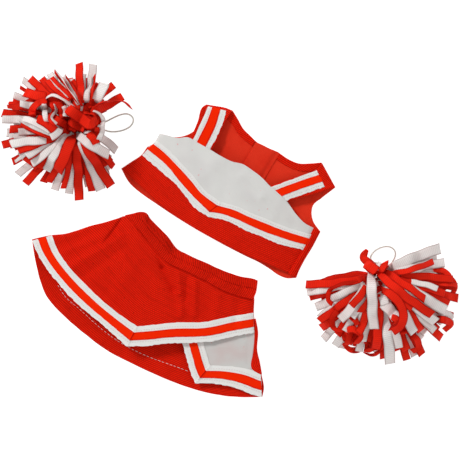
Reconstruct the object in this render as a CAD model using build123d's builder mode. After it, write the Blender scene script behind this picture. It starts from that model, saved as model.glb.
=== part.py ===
from build123d import *
import math
import os

# A two-piece cheer uniform in doll size, laid out flat on a table: a sleeveless top, an A-line skirt and
# a pair of strip pompoms with elastic wrist loops. Millimetres. +Z is up, z = 0 is the table, and the
# origin is on the table at the middle of the whole set. Each garment has its own plane on the table, whose
# x runs along its hem and whose y runs towards the neck or the waist.

# Cloth and trim
KNIT = 0.8  # thickness of the ribbed knit and of the white panels
TAPE = 0.5  # thickness of the white twill tape
RIBBON = 0.4  # thickness of the red ribbon sewn down the middle of the tape
SEWN = 0.05  # clearance between layers that are sewn together
LOOSE = 0.3  # clearance between pieces that move against each other
TAPE_HALF = 7.5  # half the width of the tape
RIBBON_HALF = 3.1  # half the width of the ribbon
SEAM = 1.6  # width of the seam allowance where a front and a back are joined
TALL = 30.0  # taller than any garment, for cutting prisms

# Where each garment lies: its plane's origin on the table, and the turn of its hem line
TOP_AT = (-13.14, 23.25)
TOP_TURN = -30.6
SKIRT_AT = (-55.24, -54.75)
SKIRT_TURN = -28.0
LEFT_POMPOM_AT = (-118.24, 83.05)
RIGHT_POMPOM_AT = (113.26, -34.45)


def table_plane(at, turn):
    """A garment's own plane, lying on the table."""
    angle = math.radians(turn)
    return Plane(origin=(*at, 0), x_dir=(math.cos(angle), math.sin(angle), 0), z_dir=(0, 0, 1))


def across(plane, y):
    """The upright plane that cuts a garment across at that y: its x is the garment's x, its y is up."""
    return Plane(origin=plane.from_local_coords((0, y, 0)), x_dir=plane.x_dir, z_dir=-plane.y_dir)


def beside(points, distance):
    """The points of a line moved sideways, to its left for a positive distance, with mitred corners."""
    normals = []
    for (x0, y0), (x1, y1) in zip(points, points[1:]):
        length = math.hypot(x1 - x0, y1 - y0)
        normals.append(((y0 - y1) / length, (x1 - x0) / length))
    moved = []
    for i, (x, y) in enumerate(points):
        (ax, ay), (bx, by) = normals[max(i - 1, 0)], normals[min(i, len(normals) - 1)]
        share = distance / (1 + ax * bx + ay * by)
        moved.append((x + (ax + bx) * share, y + (ay + by) * share))
    return moved


def draw(edges):
    """Draws a closed outline in the sketch that is open: an edge of two points is straight, others curve."""
    with BuildLine() as outline:
        for edge in edges:
            if len(edge) == 2:
                Line(*edge)
            else:
                Spline(*edge)
    make_face(outline.edges())


def band(line, low, high):
    """The outline of a band that follows a line, from low to high beside it."""
    inner, outer = beside(line, low), beside(line, high)
    return [inner, (inner[-1], outer[-1]), outer[::-1], (outer[0], inner[0])]


class Crown:
    """The lens-shaped rise of a garment's front over its back: a flat arch across the garment at each end
    of its length, given as the y, the middle, the half width and the rise there, and straight between."""

    def __init__(self, plane, edge, upper, lower):
        self.plane, self.edge, self.ends = plane, edge, (upper, lower)

    def section(self, end, low, high):
        """The cross-section of a sheet from low to high over the arch, at one end."""
        y, middle, half, rise = end
        with BuildSketch(across(self.plane, y)) as drawn:
            with BuildLine():
                foot, top = self.edge + low, self.edge + high
                under = ThreePointArc((middle - half, foot), (middle, foot + rise), (middle + half, foot))
                over = ThreePointArc((middle - half, top), (middle, top + rise), (middle + half, top))
                Line(under @ 0, over @ 0)
                Line(under @ 1, over @ 1)
            make_face()
        return drawn.sketch

    def sheet(self, edges, low, high, floor=0.0):
        """The piece with that outline that lies from low to high over the arch, and above the floor."""
        sections = [self.section(end, low, high) for end in self.ends]
        with BuildPart() as piece:
            with BuildSketch(self.plane.offset(floor)):
                draw(edges)
            extrude(amount=TALL)
            loft(sections, ruled=True, mode=Mode.INTERSECT)
        return piece.part


def flat(plane, edges, low, high):
    """The flat piece with that outline between two heights."""
    with BuildPart() as piece:
        with BuildSketch(plane.offset(low)):
            draw(edges)
        extrude(amount=high - low)
    return piece.part


os.makedirs("parts", exist_ok=True)


def save(piece, name):
    """Labels a finished piece and writes it as the node of that name."""
    piece.label = name
    export_step(piece, f"parts/{name}.step")


# ---------------------------------------------------------------- top
top = table_plane(TOP_AT, TOP_TURN)
TOP_CROWN = Crown(top, edge=1.6, upper=(75, 5, 82, 8.0), lower=(-35, 5, 82, 8.0))

HEM_LEFT, HEM_RIGHT = (-74, -16), (85, -19.5)
HEM = [HEM_LEFT, (-38, -24), (0, -26.5), (44, -24.5), HEM_RIGHT]
LEFT_SIDE = [HEM_LEFT, (-66, 2), (-63, 23)]
RIGHT_SIDE = [HEM_RIGHT, (84.5, 6), (83.5, 21)]
CHEVRON_LEFT = [(-66, 10.8), (-42, 6.5), (-20, -1), (3, -6)]
CHEVRON_RIGHT = [(3, -6), (26, -1), (50, 2.5), (79.5, 9.5)]
YOKE_TOP = [(-62.5, 23), (-50, 27), (-40, 31.8), (-15, 32), (6, 35.5), (33, 31.3), (49, 28), (62, 22.7), (79, 21)]
NECK_LEFT = [(-23, 67), (-8, 59.5), (5, 56.5)]
NECK_RIGHT = [(5, 56.5), (24, 58), (42, 58.3), (57.3, 67.5)]
ARM_LEFT = [(-63, 23), (-50, 27), (-41, 38), (-44, 60)]
ARM_RIGHT = [(76.5, 56.5), (69, 36), (74.5, 25.5), (83.5, 21)]
SHOULDER_LEFT, SHOULDER_RIGHT = ((-44, 60), (-23, 67)), ((57.3, 67.5), (76.5, 56.5))
LAP_EDGE, LAP_FOLD = 5.0, 24.0  # the closure's inner edge, and the line where the lap bends
HEM_Y = -25.5  # the closure's bottom end

back_left = flat(
    top,
    [
        LEFT_SIDE,
        ARM_LEFT,
        SHOULDER_LEFT,
        NECK_LEFT,
        ((5, 56.5), (23, 56.5)),
        ((23, 56.5), (23, HEM_Y)),
        ((23, HEM_Y), (0, -26.5)),
        [(0, -26.5), (-38, -24), HEM_LEFT],
    ],
    0,
    KNIT,
)
save(back_left, "top_back_left_half")

back_right = flat(
    top,
    [
        ((LAP_FOLD, 58), (LAP_FOLD, -25.5)),
        [(LAP_FOLD, -25.5), (44, -24.5), HEM_RIGHT],
        RIGHT_SIDE,
        ARM_RIGHT[::-1],
        SHOULDER_RIGHT[::-1],
        [(57.3, 67.5), (42, 58.3), (LAP_FOLD, 58)],
    ],
    0,
    KNIT,
)
save(back_right, "top_back_right_half")

# The closure: a hook tape on the outer half and a loop tape on the lap that folds over it
LAP_FACE = KNIT + SEWN + TAPE + LOOSE + TAPE + SEWN
LAP_OUTLINE = [
    ((LAP_EDGE, 55.5), (LAP_FOLD - LOOSE, 57)),
    ((LAP_FOLD - LOOSE, 57), (LAP_FOLD - LOOSE, HEM_Y)),
    ((LAP_FOLD - LOOSE, HEM_Y), (LAP_EDGE, HEM_Y)),
    ((LAP_EDGE, HEM_Y), (LAP_EDGE, 55.5)),
]
save(flat(top, LAP_OUTLINE, LAP_FACE, LAP_FACE + KNIT), "top_back_lap")


def closure_tape(low, name):
    """One half of the hook and loop closure, a straight tape down the centre back."""
    with BuildPart() as tape:
        with BuildSketch(top.offset(low)):
            with Locations((LAP_EDGE + 8.5, 15)):
                RectangleRounded(12, 72, 1.5)
        extrude(amount=TAPE)
    save(tape.part, name)


closure_tape(KNIT + SEWN, "top_hook_tape")
closure_tape(KNIT + SEWN + TAPE + LOOSE, "top_loop_tape")

chevron = CHEVRON_LEFT + CHEVRON_RIGHT[1:]
middle = len(CHEVRON_LEFT) - 1
yoke_seam, band_seam = beside(chevron, SEWN), beside(chevron, -SEWN)

front_yoke = TOP_CROWN.sheet(
    [
        yoke_seam[: middle + 1],
        yoke_seam[middle:],
        (yoke_seam[-1], YOKE_TOP[-1]),
        YOKE_TOP[::-1],
        (YOKE_TOP[0], yoke_seam[0]),
    ],
    0,
    KNIT,
)
save(front_yoke, "top_front_yoke")

FRONT_HEM = [(-73, -14.5), (-38, -22.5), (0, -25), (44, -23.5), (81, -18.5)]
front_band = TOP_CROWN.sheet(
    [
        band_seam[: middle + 1],
        band_seam[middle:],
        (band_seam[-1], FRONT_HEM[-1]),
        FRONT_HEM[::-1],
        (FRONT_HEM[0], band_seam[0]),
    ],
    0,
    KNIT,
)
save(front_band, "top_front_band")


def braid(crown, line, low, name, corner=None):
    """Tape with a ribbon down its middle along a line, in one arm or in two that meet at a mitred corner."""
    for part_name, half, under, over in (
        ("tape", TAPE_HALF, low, low + TAPE),
        ("ribbon", RIBBON_HALF, low + TAPE + SEWN, low + TAPE + SEWN + RIBBON),
    ):
        right, left = beside(line, -half), beside(line, half)
        spans = [("", slice(None))]
        if corner is not None:
            spans = [("_left", slice(None, corner + 1)), ("_right", slice(corner, None))]
        for side, span in spans:
            a, b = right[span], left[span]
            outline = [a, (a[-1], b[-1]), b[::-1], (b[0], a[0])]
            save(crown.sheet(outline, under, over), f"{name}_{part_name}{side}")


braid(TOP_CROWN, chevron, KNIT + SEWN, "top_chevron", corner=middle)


def strap(side, outline, wall, line):
    """A shoulder strap that starts behind the yoke and folds over at the shoulder, with its braid."""
    under = -KNIT - SEWN
    body = TOP_CROWN.sheet(outline, under, -SEWN)
    fold = TOP_CROWN.sheet(wall, under - TALL, under, floor=KNIT + SEWN)
    save(body + fold, f"top_{side}_strap")
    for part_name, half, low, high in (
        ("tape", TAPE_HALF, 0, TAPE),
        ("ribbon", RIBBON_HALF, TAPE + SEWN, TAPE + SEWN + RIBBON),
    ):
        save(TOP_CROWN.sheet(band(line, -half, half), low, high), f"top_{side}_strap_{part_name}")


strap(
    "left",
    [((-42, 28), (-19, 28)), ((-19, 28), (-23, 66.5)), ((-23, 66.5), (-44, 59.5)), ((-44, 59.5), (-42, 28))],
    [((-44, 57.5), (-44, 59.5)), ((-44, 59.5), (-23, 66.5)), ((-23, 66.5), (-23, 64.5)), ((-23, 64.5), (-44, 57.5))],
    [(-30.6, 34.4), (-34, 61)],
)
strap(
    "right",
    [((29, 27), (53, 23)), ((53, 23), (76, 56)), ((76, 56), (57, 67)), ((57, 67), (29, 27))],
    [((57, 67), (76, 56)), ((76, 56), (74.9, 54.3)), ((74.9, 54.3), (55.9, 65.3)), ((55.9, 65.3), (57, 67))],
    [(43.6, 33.6), (62.5, 57)],
)


def side_seam(crown, edge, inward, name, floor, width=SEAM):
    """The joined edges of a front and a back along one side."""
    save(crown.sheet(band(edge, 0, inward * width), -TALL, -SEWN, floor=floor), name)


side_seam(TOP_CROWN, LEFT_SIDE, -1, "top_left_side_seam", KNIT + SEWN)
side_seam(TOP_CROWN, RIGHT_SIDE, 1, "top_right_side_seam", KNIT + SEWN, width=3.5)

# ---------------------------------------------------------------- skirt
skirt = table_plane(SKIRT_AT, SKIRT_TURN)
BACK_LOW = RIBBON + SEWN + TAPE + SEWN  # the back lies on its own hem braid
BACK_HIGH = BACK_LOW + KNIT
SKIRT_CROWN = Crown(skirt, edge=3.2, upper=(55, 5, 48, 5.0), lower=(-56, -23, 146, 10.0))
FLAP_CROWN = Crown(skirt, edge=2.1, upper=(55, 5, 48, 3.0), lower=(-56, -23, 146, 6.0))

WAIST_TOP = [(-57, 41), (-50, 50), (-41, 54), (-25, 49), (-8, 42), (5, 41.5), (33, 43.5), (60, 49)]
WAIST_LOW = [(-60, 37), (-39, 40.5), (-17, 31.3), (-4, 28.3), (25, 30), (64, 34.5)]
LEFT_FOLD = [(-60, 37), (-82, 17.5), (-98, 5), (-109, -3.5)]
RIGHT_FOLD = [(64, 34.5), (71.5, 23.5), (79, 12)]
WRAP_FOLD = [(79, 12), (86, 0), (97, -14), (105.5, -28)]
BACK_HEM = [(105.5, -28), (80, -42), (50, -50), (5, -54), (-36, -51.5), (-74, -42), (-98, -21), (-109, -3.5)]
OVERLAY_LINE = [(-103, 0), (-84, -14), (-58, -23.5), (-32, -30), (-6, -34.6), (8, -26.5), (38, -8), (56, 4.5), (72.5, 19)]
OVERLAY_CORNER = 4
FLAP_LINE = [(30, -8.5), (38.6, -17.5), (47, -26), (55.5, -34.8), (70, -29), (84, -25), (99, -21.5)]
FLAP_CORNER = 3

back_edges = [WAIST_LOW, RIGHT_FOLD, WRAP_FOLD, BACK_HEM, LEFT_FOLD[::-1]]
save(flat(skirt, back_edges, BACK_LOW, BACK_HIGH), "skirt_back_panel")

overlay_hem = beside(OVERLAY_LINE, -TAPE_HALF + 0.5)
overlay = SKIRT_CROWN.sheet(
    [
        WAIST_LOW[::-1],
        (WAIST_LOW[0], (-104, -1)),
        ((-104, -1), overlay_hem[0]),
        overlay_hem[: OVERLAY_CORNER + 1],
        overlay_hem[OVERLAY_CORNER:],
        (overlay_hem[-1], RIGHT_FOLD[-1]),
        RIGHT_FOLD[::-1],
    ],
    0,
    KNIT,
)
save(overlay, "skirt_front_overlay")
braid(SKIRT_CROWN, OVERLAY_LINE, KNIT + SEWN, "skirt_overlay", corner=OVERLAY_CORNER)

flap_rim = beside(FLAP_LINE[:-1], -TAPE_HALF + 0.5)
flap = FLAP_CROWN.sheet(
    [
        flap_rim[: FLAP_CORNER + 1],
        flap_rim[FLAP_CORNER:],
        (flap_rim[-1], (78, 10)),
        ((78, 10), (50, 8)),
        ((50, 8), flap_rim[0]),
    ],
    0,
    KNIT,
)
save(flap, "skirt_side_inset")
braid(FLAP_CROWN, FLAP_LINE, KNIT + SEWN, "skirt_inset", corner=FLAP_CORNER)

wrap = FLAP_CROWN.sheet(
    [
        (flap_rim[-1], (78.3, 10)),
        ((78.3, 10), WRAP_FOLD[1]),
        WRAP_FOLD[1:],
        (WRAP_FOLD[-1], flap_rim[-1]),
    ],
    0,
    KNIT,
)
save(wrap, "skirt_side_wrap")

# The back's hem braid is sewn on its outside, so it lies against the table
hem_line = beside(BACK_HEM[1:-1], -TAPE_HALF - 1)
save(flat(skirt, band(hem_line, -TAPE_HALF, TAPE_HALF), RIBBON + SEWN, RIBBON + SEWN + TAPE), "skirt_back_hem_tape")
save(flat(skirt, band(hem_line, -RIBBON_HALF, RIBBON_HALF), 0, RIBBON), "skirt_back_hem_ribbon")

side_seam(SKIRT_CROWN, LEFT_FOLD, 1, "skirt_left_side_seam", BACK_HIGH + SEWN)
side_seam(SKIRT_CROWN, RIGHT_FOLD, -1, "skirt_right_side_seam", BACK_HIGH + SEWN)
side_seam(FLAP_CROWN, WRAP_FOLD[1:], -1, "skirt_wrap_fold_seam", BACK_HIGH + SEWN)

# The waistband is a casing of knit, front and back, with an elastic inside it
CASING = 3 * KNIT  # two layers of knit and the elastic between them
WELT = 2.0  # the knit beyond the elastic at the casing's edges
casing_low = beside(WAIST_LOW, LOOSE)
casing_edges = [WAIST_TOP, (WAIST_TOP[-1], casing_low[-1]), casing_low[::-1], (casing_low[0], WAIST_TOP[0])]
tunnel_top = beside(WAIST_TOP[1:-1] + [(56.5, 48.3)], -WELT)
tunnel_low = beside(WAIST_LOW[1:-1] + [(60.5, 34.2)], WELT)
tunnel_edges = [
    tunnel_top,
    (tunnel_top[-1], tunnel_low[-1]),
    tunnel_low[::-1],
    (tunnel_low[0], tunnel_top[0]),
]
right_end, left_end = [WAIST_TOP[-1], casing_low[-1]], [casing_low[0], WAIST_TOP[0]]
front_casing = SKIRT_CROWN.sheet(casing_edges, 0, CASING) - SKIRT_CROWN.sheet(tunnel_edges, KNIT, 2 * KNIT)
back_casing = flat(skirt, casing_edges, 0, CASING) - flat(skirt, tunnel_edges, KNIT, 2 * KNIT)
end_walls = [
    SKIRT_CROWN.sheet(band(end, 0, -SEAM), -TALL, KNIT / 2, floor=KNIT) for end in (right_end, left_end)
]
save(front_casing + back_casing + end_walls[0] + end_walls[1], "skirt_waistband")
front_elastic = SKIRT_CROWN.sheet(tunnel_edges, KNIT + SEWN, 2 * KNIT - SEWN)
back_elastic = flat(skirt, tunnel_edges, KNIT + SEWN, 2 * KNIT - SEWN)
save(Compound(children=[front_elastic, back_elastic]), "skirt_waist_elastic")

# ---------------------------------------------------------------- pompoms
CORE_R = 4.0  # the strips' gathered middle
TIE_R = 5.2  # outside of the cord that ties them
BUNDLE_IN = 7.0  # where the bundles of strips start
BUNDLE_GAP = 0.2  # clearance on each side of a bundle at its inner end
CORD_R = 0.6  # the elastic loop's radius
KNOT_R = 2.0
KNOT_OUT = 7.6  # the knot's distance from the core
KNOT_UP = 5.0  # the knot's height over the table


def bundle(at, start, sweep, reach, height):
    """A bundle of strips that fans out over a sweep of angles: a wedge of a low dome."""
    angle = math.radians(start + sweep / 2)
    axis = Axis((*at, 0), (0, 0, 1))
    gap = math.degrees(BUNDLE_GAP / BUNDLE_IN)
    first = math.radians(start + gap)
    radial = Plane(
        origin=(*at, 0),
        x_dir=(math.cos(first), math.sin(first), 0),
        z_dir=(math.sin(first), -math.cos(first), 0),
    )
    with BuildPart() as wedge:
        with BuildSketch(radial):
            with BuildLine():
                Polyline((BUNDLE_IN, height), (BUNDLE_IN, 0), (reach * 0.92, 0), (reach, height * 0.2))
                ThreePointArc((reach, height * 0.2), (reach * 0.72, height * 0.8), (BUNDLE_IN, height))
            make_face()
        revolve(axis=axis, revolution_arc=sweep - 2 * gap)
    return wedge.part


def pompom(side, at, height, starts, sweep, reaches, loop_turn, route):
    """A pompom: red and white bundles of strips by turns round a tied core, and an elastic wrist loop."""
    bundles = [bundle(at, start, sweep, reach, height) for start, reach in zip(starts, reaches)]
    save(Compound(children=bundles[0::2]), f"{side}_pompom_red_strips")
    save(Compound(children=bundles[1::2]), f"{side}_pompom_white_strips")

    core_height = height * 0.9
    with BuildPart() as core:
        with BuildSketch(Plane(origin=(*at, 0))):
            Circle(CORE_R)
        extrude(amount=core_height)
        with BuildSketch(Plane(origin=(*at, core_height / 2 - 1))):
            Circle(CORE_R)
            Circle(CORE_R - 0.8, mode=Mode.SUBTRACT)
        extrude(amount=2, mode=Mode.SUBTRACT)
    save(core.part, f"{side}_pompom_core")

    turn = math.radians(loop_turn)
    out = Vector(math.cos(turn), math.sin(turn), 0)
    with BuildPart() as tie:
        with BuildSketch(Plane(origin=(*at, core_height / 2 - 0.9))):
            Circle(TIE_R)
            Circle(CORE_R - 0.75, mode=Mode.SUBTRACT)
        extrude(amount=1.8)
    save(tie.part, f"{side}_pompom_tie")

    foot = Vector(*at, 0) + out * KNOT_OUT
    with BuildPart() as knot:
        with Locations(foot + Vector(0, 0, KNOT_UP)):
            Sphere(KNOT_R)
    save(knot.part, f"{side}_loop_knot")
    wrist_loop(side, foot, out, route)


def wrist_loop(side, foot, out, route):
    """The elastic cord, out of its knot, round on the table and back into the knot."""
    left = Vector(-out.Y, out.X, 0)
    stops = [foot + out * along + left * aside + Vector(0, 0, up) for along, aside, up in route]
    runs = [b - a for a, b in zip(stops, stops[1:])]
    radii = []
    for before, after in zip(runs, runs[1:]):
        half_turn = math.radians(before.get_angle(after)) / 2
        radii.append(0.45 * min(before.length, after.length) / math.tan(half_turn))
    print(side, "loop radii", [round(r, 1) for r in radii])
    with BuildPart() as cord:
        with BuildLine() as path:
            FilletPolyline(*stops, radius=radii)
        with BuildSketch(Plane(origin=path.line @ 0, z_dir=path.line % 0)):
            Circle(CORD_R)
        sweep()
    length = path.wire().length
    print(side, "loop length", round(length, 2), "volume ratio", cord.part.volume / (math.pi * CORD_R**2 * length))
    save(cord.part, f"{side}_wrist_loop")


# Each loop's route from the foot of its knot: how far out, how far to the left, how far up
LEFT_ROUTE = [
    (2.3, 1.0, 5.0),
    (7.0, 0.4, 4.0),
    (12.8, 1.6, 2.4),
    (18.8, 5.2, 1.2),
    (25.2, 8.3, 0.8),
    (31.0, 8.8, 0.7),
    (35.2, 5.0, 0.7),
    (33.4, -0.6, 0.7),
    (28.0, -4.0, 0.7),
    (22.0, -5.6, 0.8),
    (16.4, -5.8, 1.2),
    (11.2, -4.4, 2.4),
    (6.4, -2.2, 3.8),
    (2.3, -1.0, 5.0),
]
RIGHT_ROUTE = [
    (0.7, 2.4, 5.0),
    (-1.2, 6.6, 3.8),
    (1.2, 10.2, 2.0),
    (7.0, 10.0, 0.9),
    (12.6, 6.6, 0.7),
    (16.6, 1.2, 0.7),
    (15.8, -4.6, 0.7),
    (11.2, -7.0, 0.8),
    (6.0, -6.6, 1.4),
    (1.4, -5.8, 3.0),
    (0.5, -2.4, 5.0),
]

LEFT_SWEEP = 26.0
pompom(
    "left",
    LEFT_POMPOM_AT,
    height=46,
    starts=[21 + LEFT_SWEEP * i for i in range(12)],
    sweep=LEFT_SWEEP,
    reaches=[42, 45, 47, 48, 54, 58, 60, 58, 60, 62, 58, 44],
    loop_turn=-2,
    route=LEFT_ROUTE,
)
RIGHT_SWEEP = 24.0
pompom(
    "right",
    RIGHT_POMPOM_AT,
    height=44,
    starts=[168 + RIGHT_SWEEP * i for i in range(9)],
    sweep=RIGHT_SWEEP,
    reaches=[55, 56, 60, 66, 71, 70, 66, 65, 64],
    loop_turn=62,
    route=RIGHT_ROUTE,
)
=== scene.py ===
import math

import bpy
import numpy as np
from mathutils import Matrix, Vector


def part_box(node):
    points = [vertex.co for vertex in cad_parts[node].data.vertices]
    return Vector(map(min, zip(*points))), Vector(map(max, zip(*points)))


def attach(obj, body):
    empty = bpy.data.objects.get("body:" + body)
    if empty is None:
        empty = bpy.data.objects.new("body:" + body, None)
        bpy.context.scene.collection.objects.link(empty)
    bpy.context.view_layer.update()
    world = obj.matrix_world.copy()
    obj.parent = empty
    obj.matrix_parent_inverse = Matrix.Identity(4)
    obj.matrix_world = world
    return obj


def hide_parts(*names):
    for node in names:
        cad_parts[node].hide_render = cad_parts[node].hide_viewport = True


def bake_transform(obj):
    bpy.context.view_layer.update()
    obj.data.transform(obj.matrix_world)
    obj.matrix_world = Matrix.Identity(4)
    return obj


bl_info = {
    "name": "Cheer Uniform",
    "version": (1, 0, 0),
    "blender": (4, 5, 0),
    "location": "View3D > Sidebar > Cheer Uniform",
    "description": "Dresses the cheer uniform's frame in cloth, braid and pompom strips",
    "category": "Object",
}

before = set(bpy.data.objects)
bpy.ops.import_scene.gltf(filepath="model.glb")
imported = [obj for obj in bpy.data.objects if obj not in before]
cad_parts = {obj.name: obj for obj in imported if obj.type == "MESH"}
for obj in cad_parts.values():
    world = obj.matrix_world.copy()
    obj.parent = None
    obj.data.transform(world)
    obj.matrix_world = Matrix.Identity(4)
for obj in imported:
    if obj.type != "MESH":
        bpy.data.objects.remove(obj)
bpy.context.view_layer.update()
MM = 0.001

# Where each garment and pompom lies on the table, in mm and degrees: the same places as in the model
TOP_AT, TOP_TURN = (-13.14, 23.25), -30.6
SKIRT_AT, SKIRT_TURN = (-55.24, -54.75), -28.0
LEFT_AT, RIGHT_AT = (-118.24, 83.05), (113.26, -34.45)

SEWN = 0.05  # clearance between layers of cloth that are sewn together, in mm
TOP_SIDE, STRAP_END, SKIRT_SIDE = 1.3, 1.25, 2.0  # heights, in mm, to which the fronts are rounded down
KNOT_OUT, KNOT_HIGH = 7.6, 5.0  # where a wrist loop's knot sits: mm from the pompom's middle, and over the table


# ------------------------------------------------------------------ settings
class CheerSizes(bpy.types.PropertyGroup):
    knit: bpy.props.FloatProperty(name="Knit", description="Thickness of the knit", default=0.0008, unit="LENGTH")
    tape: bpy.props.FloatProperty(
        name="Tape", description="Thickness of the white tape", default=0.0005, unit="LENGTH"
    )
    ribbon: bpy.props.FloatProperty(
        name="Ribbon", description="Thickness of the red ribbon", default=0.0004, unit="LENGTH"
    )
    strip_width: bpy.props.FloatProperty(
        name="Strip", description="Width of a pompom strip", default=0.0066, unit="LENGTH"
    )
    cord: bpy.props.FloatProperty(
        name="Elastic cord", description="Thickness of the wrist loops", default=0.0012, unit="LENGTH"
    )
    rib: bpy.props.FloatProperty(
        name="Rib", description="Pitch of the ribs of the knit", default=0.00135, unit="LENGTH"
    )


def colour(name, description, default):
    """A colour property with that default."""
    return bpy.props.FloatVectorProperty(name=name, description=description, subtype="COLOR", size=3, default=default)


class CheerColours(bpy.types.PropertyGroup):
    red: colour("Red knit", "Colour of the ribbed knit", (0.86, 0.0155, 0.0045))
    white: colour("White cloth", "Colour of the yoke and the side inset", (0.715, 0.71, 0.685))
    tape: colour("Tape", "Colour of the white tape", (0.84, 0.835, 0.81))
    ribbon: colour("Ribbon", "Colour of the red ribbon", (1.0, 0.022, 0.0))
    strip_red: colour("Red strips", "Colour of the red pompom strips", (0.90, 0.021, 0.007))
    strip_white: colour("White strips", "Colour of the white pompom strips", (0.93, 0.89, 0.86))
    cord: colour("Elastic cord", "Colour of the wrist loops", (0.72, 0.70, 0.63))


# ------------------------------------------------------------------ shader maths
class Wire:
    """A shader socket that sums and products can be written on."""

    def __init__(self, tree, socket):
        self.tree, self.socket = tree, socket

    def _math(self, operation, a, b=None):
        node = self.tree.nodes.new("ShaderNodeMath")
        node.operation = operation
        for slot, value in zip(node.inputs, (a, b)):
            if isinstance(value, Wire):
                self.tree.links.new(value.socket, slot)
            elif value is not None:
                slot.default_value = value
        return Wire(self.tree, node.outputs[0])

    def __add__(self, other):
        return self._math("ADD", self, other)

    def __radd__(self, other):
        return self._math("ADD", other, self)

    def __sub__(self, other):
        return self._math("SUBTRACT", self, other)

    def __rsub__(self, other):
        return self._math("SUBTRACT", other, self)

    def __mul__(self, other):
        return self._math("MULTIPLY", self, other)

    def __rmul__(self, other):
        return self._math("MULTIPLY", other, self)

    def __truediv__(self, other):
        return self._math("DIVIDE", self, other)

    def __pow__(self, other):
        return self._math("POWER", self, other)

    def cycle(self):
        """A cosine that repeats each time the value grows by 1."""
        return self._math("COSINE", self * (2 * math.pi))

    def abs(self):
        return self._math("ABSOLUTE", self)

    def fract(self):
        return self._math("FRACT", self)

    def within(self, most):
        """The value kept between 0 and a limit."""
        return self._math("MINIMUM", self._math("MAXIMUM", self, 0.0), most)

    def below(self, other):
        return self._math("LESS_THAN", self, other)


class Cloth:
    """A cloth material on a Principled shader, whose patterns read the piece's UV map in millimetres."""

    def __init__(self, name, roughness=0.9, sheen=0.0, specular=0.2):
        self.material = bpy.data.materials.new(name)
        self.material.use_nodes = True
        self.tree = self.material.node_tree
        self.tree.nodes.clear()
        self.out = self.tree.nodes.new("ShaderNodeOutputMaterial")
        self.shader = self.tree.nodes.new("ShaderNodeBsdfPrincipled")
        self.tree.links.new(self.shader.outputs[0], self.out.inputs[0])
        self.shader.inputs["Roughness"].default_value = roughness
        self.shader.inputs["Specular IOR Level"].default_value = specular
        self.shader.inputs["Sheen Weight"].default_value = sheen
        self.shader.inputs["Sheen Roughness"].default_value = 0.5

    def node(self, kind, settings=None, inputs=None, output=0):
        """Adds a node: its settings first, then the values or wires of its sockets."""
        node = self.tree.nodes.new(kind)
        for key, value in (settings or {}).items():
            setattr(node, key, value)
        for key, value in (inputs or {}).items():
            if isinstance(value, Wire):
                self.tree.links.new(value.socket, node.inputs[key])
            else:
                node.inputs[key].default_value = value
        return Wire(self.tree, node.outputs[output])

    def uv(self):
        """The place on the cloth, and its two lengths in millimetres."""
        place = self.node("ShaderNodeUVMap", {"uv_map": "UVMap"})
        split = self.node("ShaderNodeSeparateXYZ", inputs={0: place})
        return place, split, Wire(self.tree, split.socket.node.outputs[1])

    def noise(self, place, scale, detail=2.0, stretch=(1, 1, 1)):
        """Smooth noise around 0.5 over the cloth."""
        mapped = self.node("ShaderNodeMapping", inputs={"Vector": place, "Scale": stretch})
        return self.node("ShaderNodeTexNoise", inputs={"Vector": mapped, "Scale": scale, "Detail": detail})

    def mix(self, share, first, second):
        """A colour between two, by a wire that runs from 0 to 1."""
        node = self.tree.nodes.new("ShaderNodeMix")
        node.data_type = "RGBA"
        for key, value in ((0, share), (6, first), (7, second)):
            if isinstance(value, Wire):
                self.tree.links.new(value.socket, node.inputs[key])
            else:
                node.inputs[key].default_value = value if key == 0 else (*value[:3], 1.0)
        return Wire(self.tree, node.outputs[2])

    def finish(self, base, relief=None, depth=0.0002, strength=1.0):
        """Joins the colour and the relief to the shader."""
        self.tree.links.new(base.socket, self.shader.inputs["Base Color"])
        if relief is not None:
            bump = self.node("ShaderNodeBump", inputs={"Height": relief, "Distance": depth, "Strength": strength})
            self.tree.links.new(bump.socket, self.shader.inputs["Normal"])
        return self.material


def scaled(rgb, share):
    """A colour made lighter or darker."""
    return tuple(c * share for c in rgb[:3])


def rib_knit(name, rgb, pitch, groove_shade=0.42, depth=0.0003, roughness=1.0):
    """Ribbed knit: raised ribs across V with painted shade in the narrow grooves between them and slightly lighter
    crowns, loops along each rib, and mottling: uneven tone, broad patches of painted wrinkle shade and long streaks
    of painted fold shade.
    """
    cloth = Cloth(name, roughness=roughness, specular=0.02)
    place, u, v = cloth.uv()
    wander = cloth.noise(place, 0.09, 1.0)
    ribs = (v / pitch + (wander - 0.5) * 0.6).cycle() * 0.5 + 0.5
    loops = (u / (pitch * 0.72) + ribs * 0.35).cycle() * 0.5 + 0.5
    fuzz = cloth.noise(place, 1.6, 3.0)
    patches = cloth.noise(place, 0.05, 2.0)
    streak_shade = cloth.noise(place, 0.3, 2.0, (0.12, 1.0, 1.0))
    fleck = cloth.noise(place, 0.5, 0.0)
    crown = 1.0 - (1.0 - ribs) ** 1.6
    # painted shade: the grooves between the ribs darken to the groove shade and the crowns lighten; the same painted
    # groove shade falls between the loops
    base = cloth.mix(crown, scaled(rgb, groove_shade), scaled(rgb, 1.06))
    base = cloth.mix((1.0 - loops) * (1.0 - loops) * 0.18, base, scaled(rgb, groove_shade))
    base = cloth.mix(((fuzz - 0.42) * 1.6).within(0.5), base, scaled(rgb, 1.25))
    # broad darker patches: uneven tone, partly painted wrinkle shade
    base = cloth.mix(((patches - 0.45) * 1.8).within(0.3), base, scaled(rgb, 0.72))
    # painted shade of small folds, in long darker streaks laid at random
    base = cloth.mix(((streak_shade - 0.52) * 2.4).within(0.35), base, scaled(rgb, 0.62))
    base = cloth.mix(((fleck - 0.77) * 14.0).within(0.4), base, scaled(rgb, 0.35))
    relief = crown + loops * 0.4 + fuzz * 0.4
    return cloth.finish(base, relief, depth)


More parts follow.
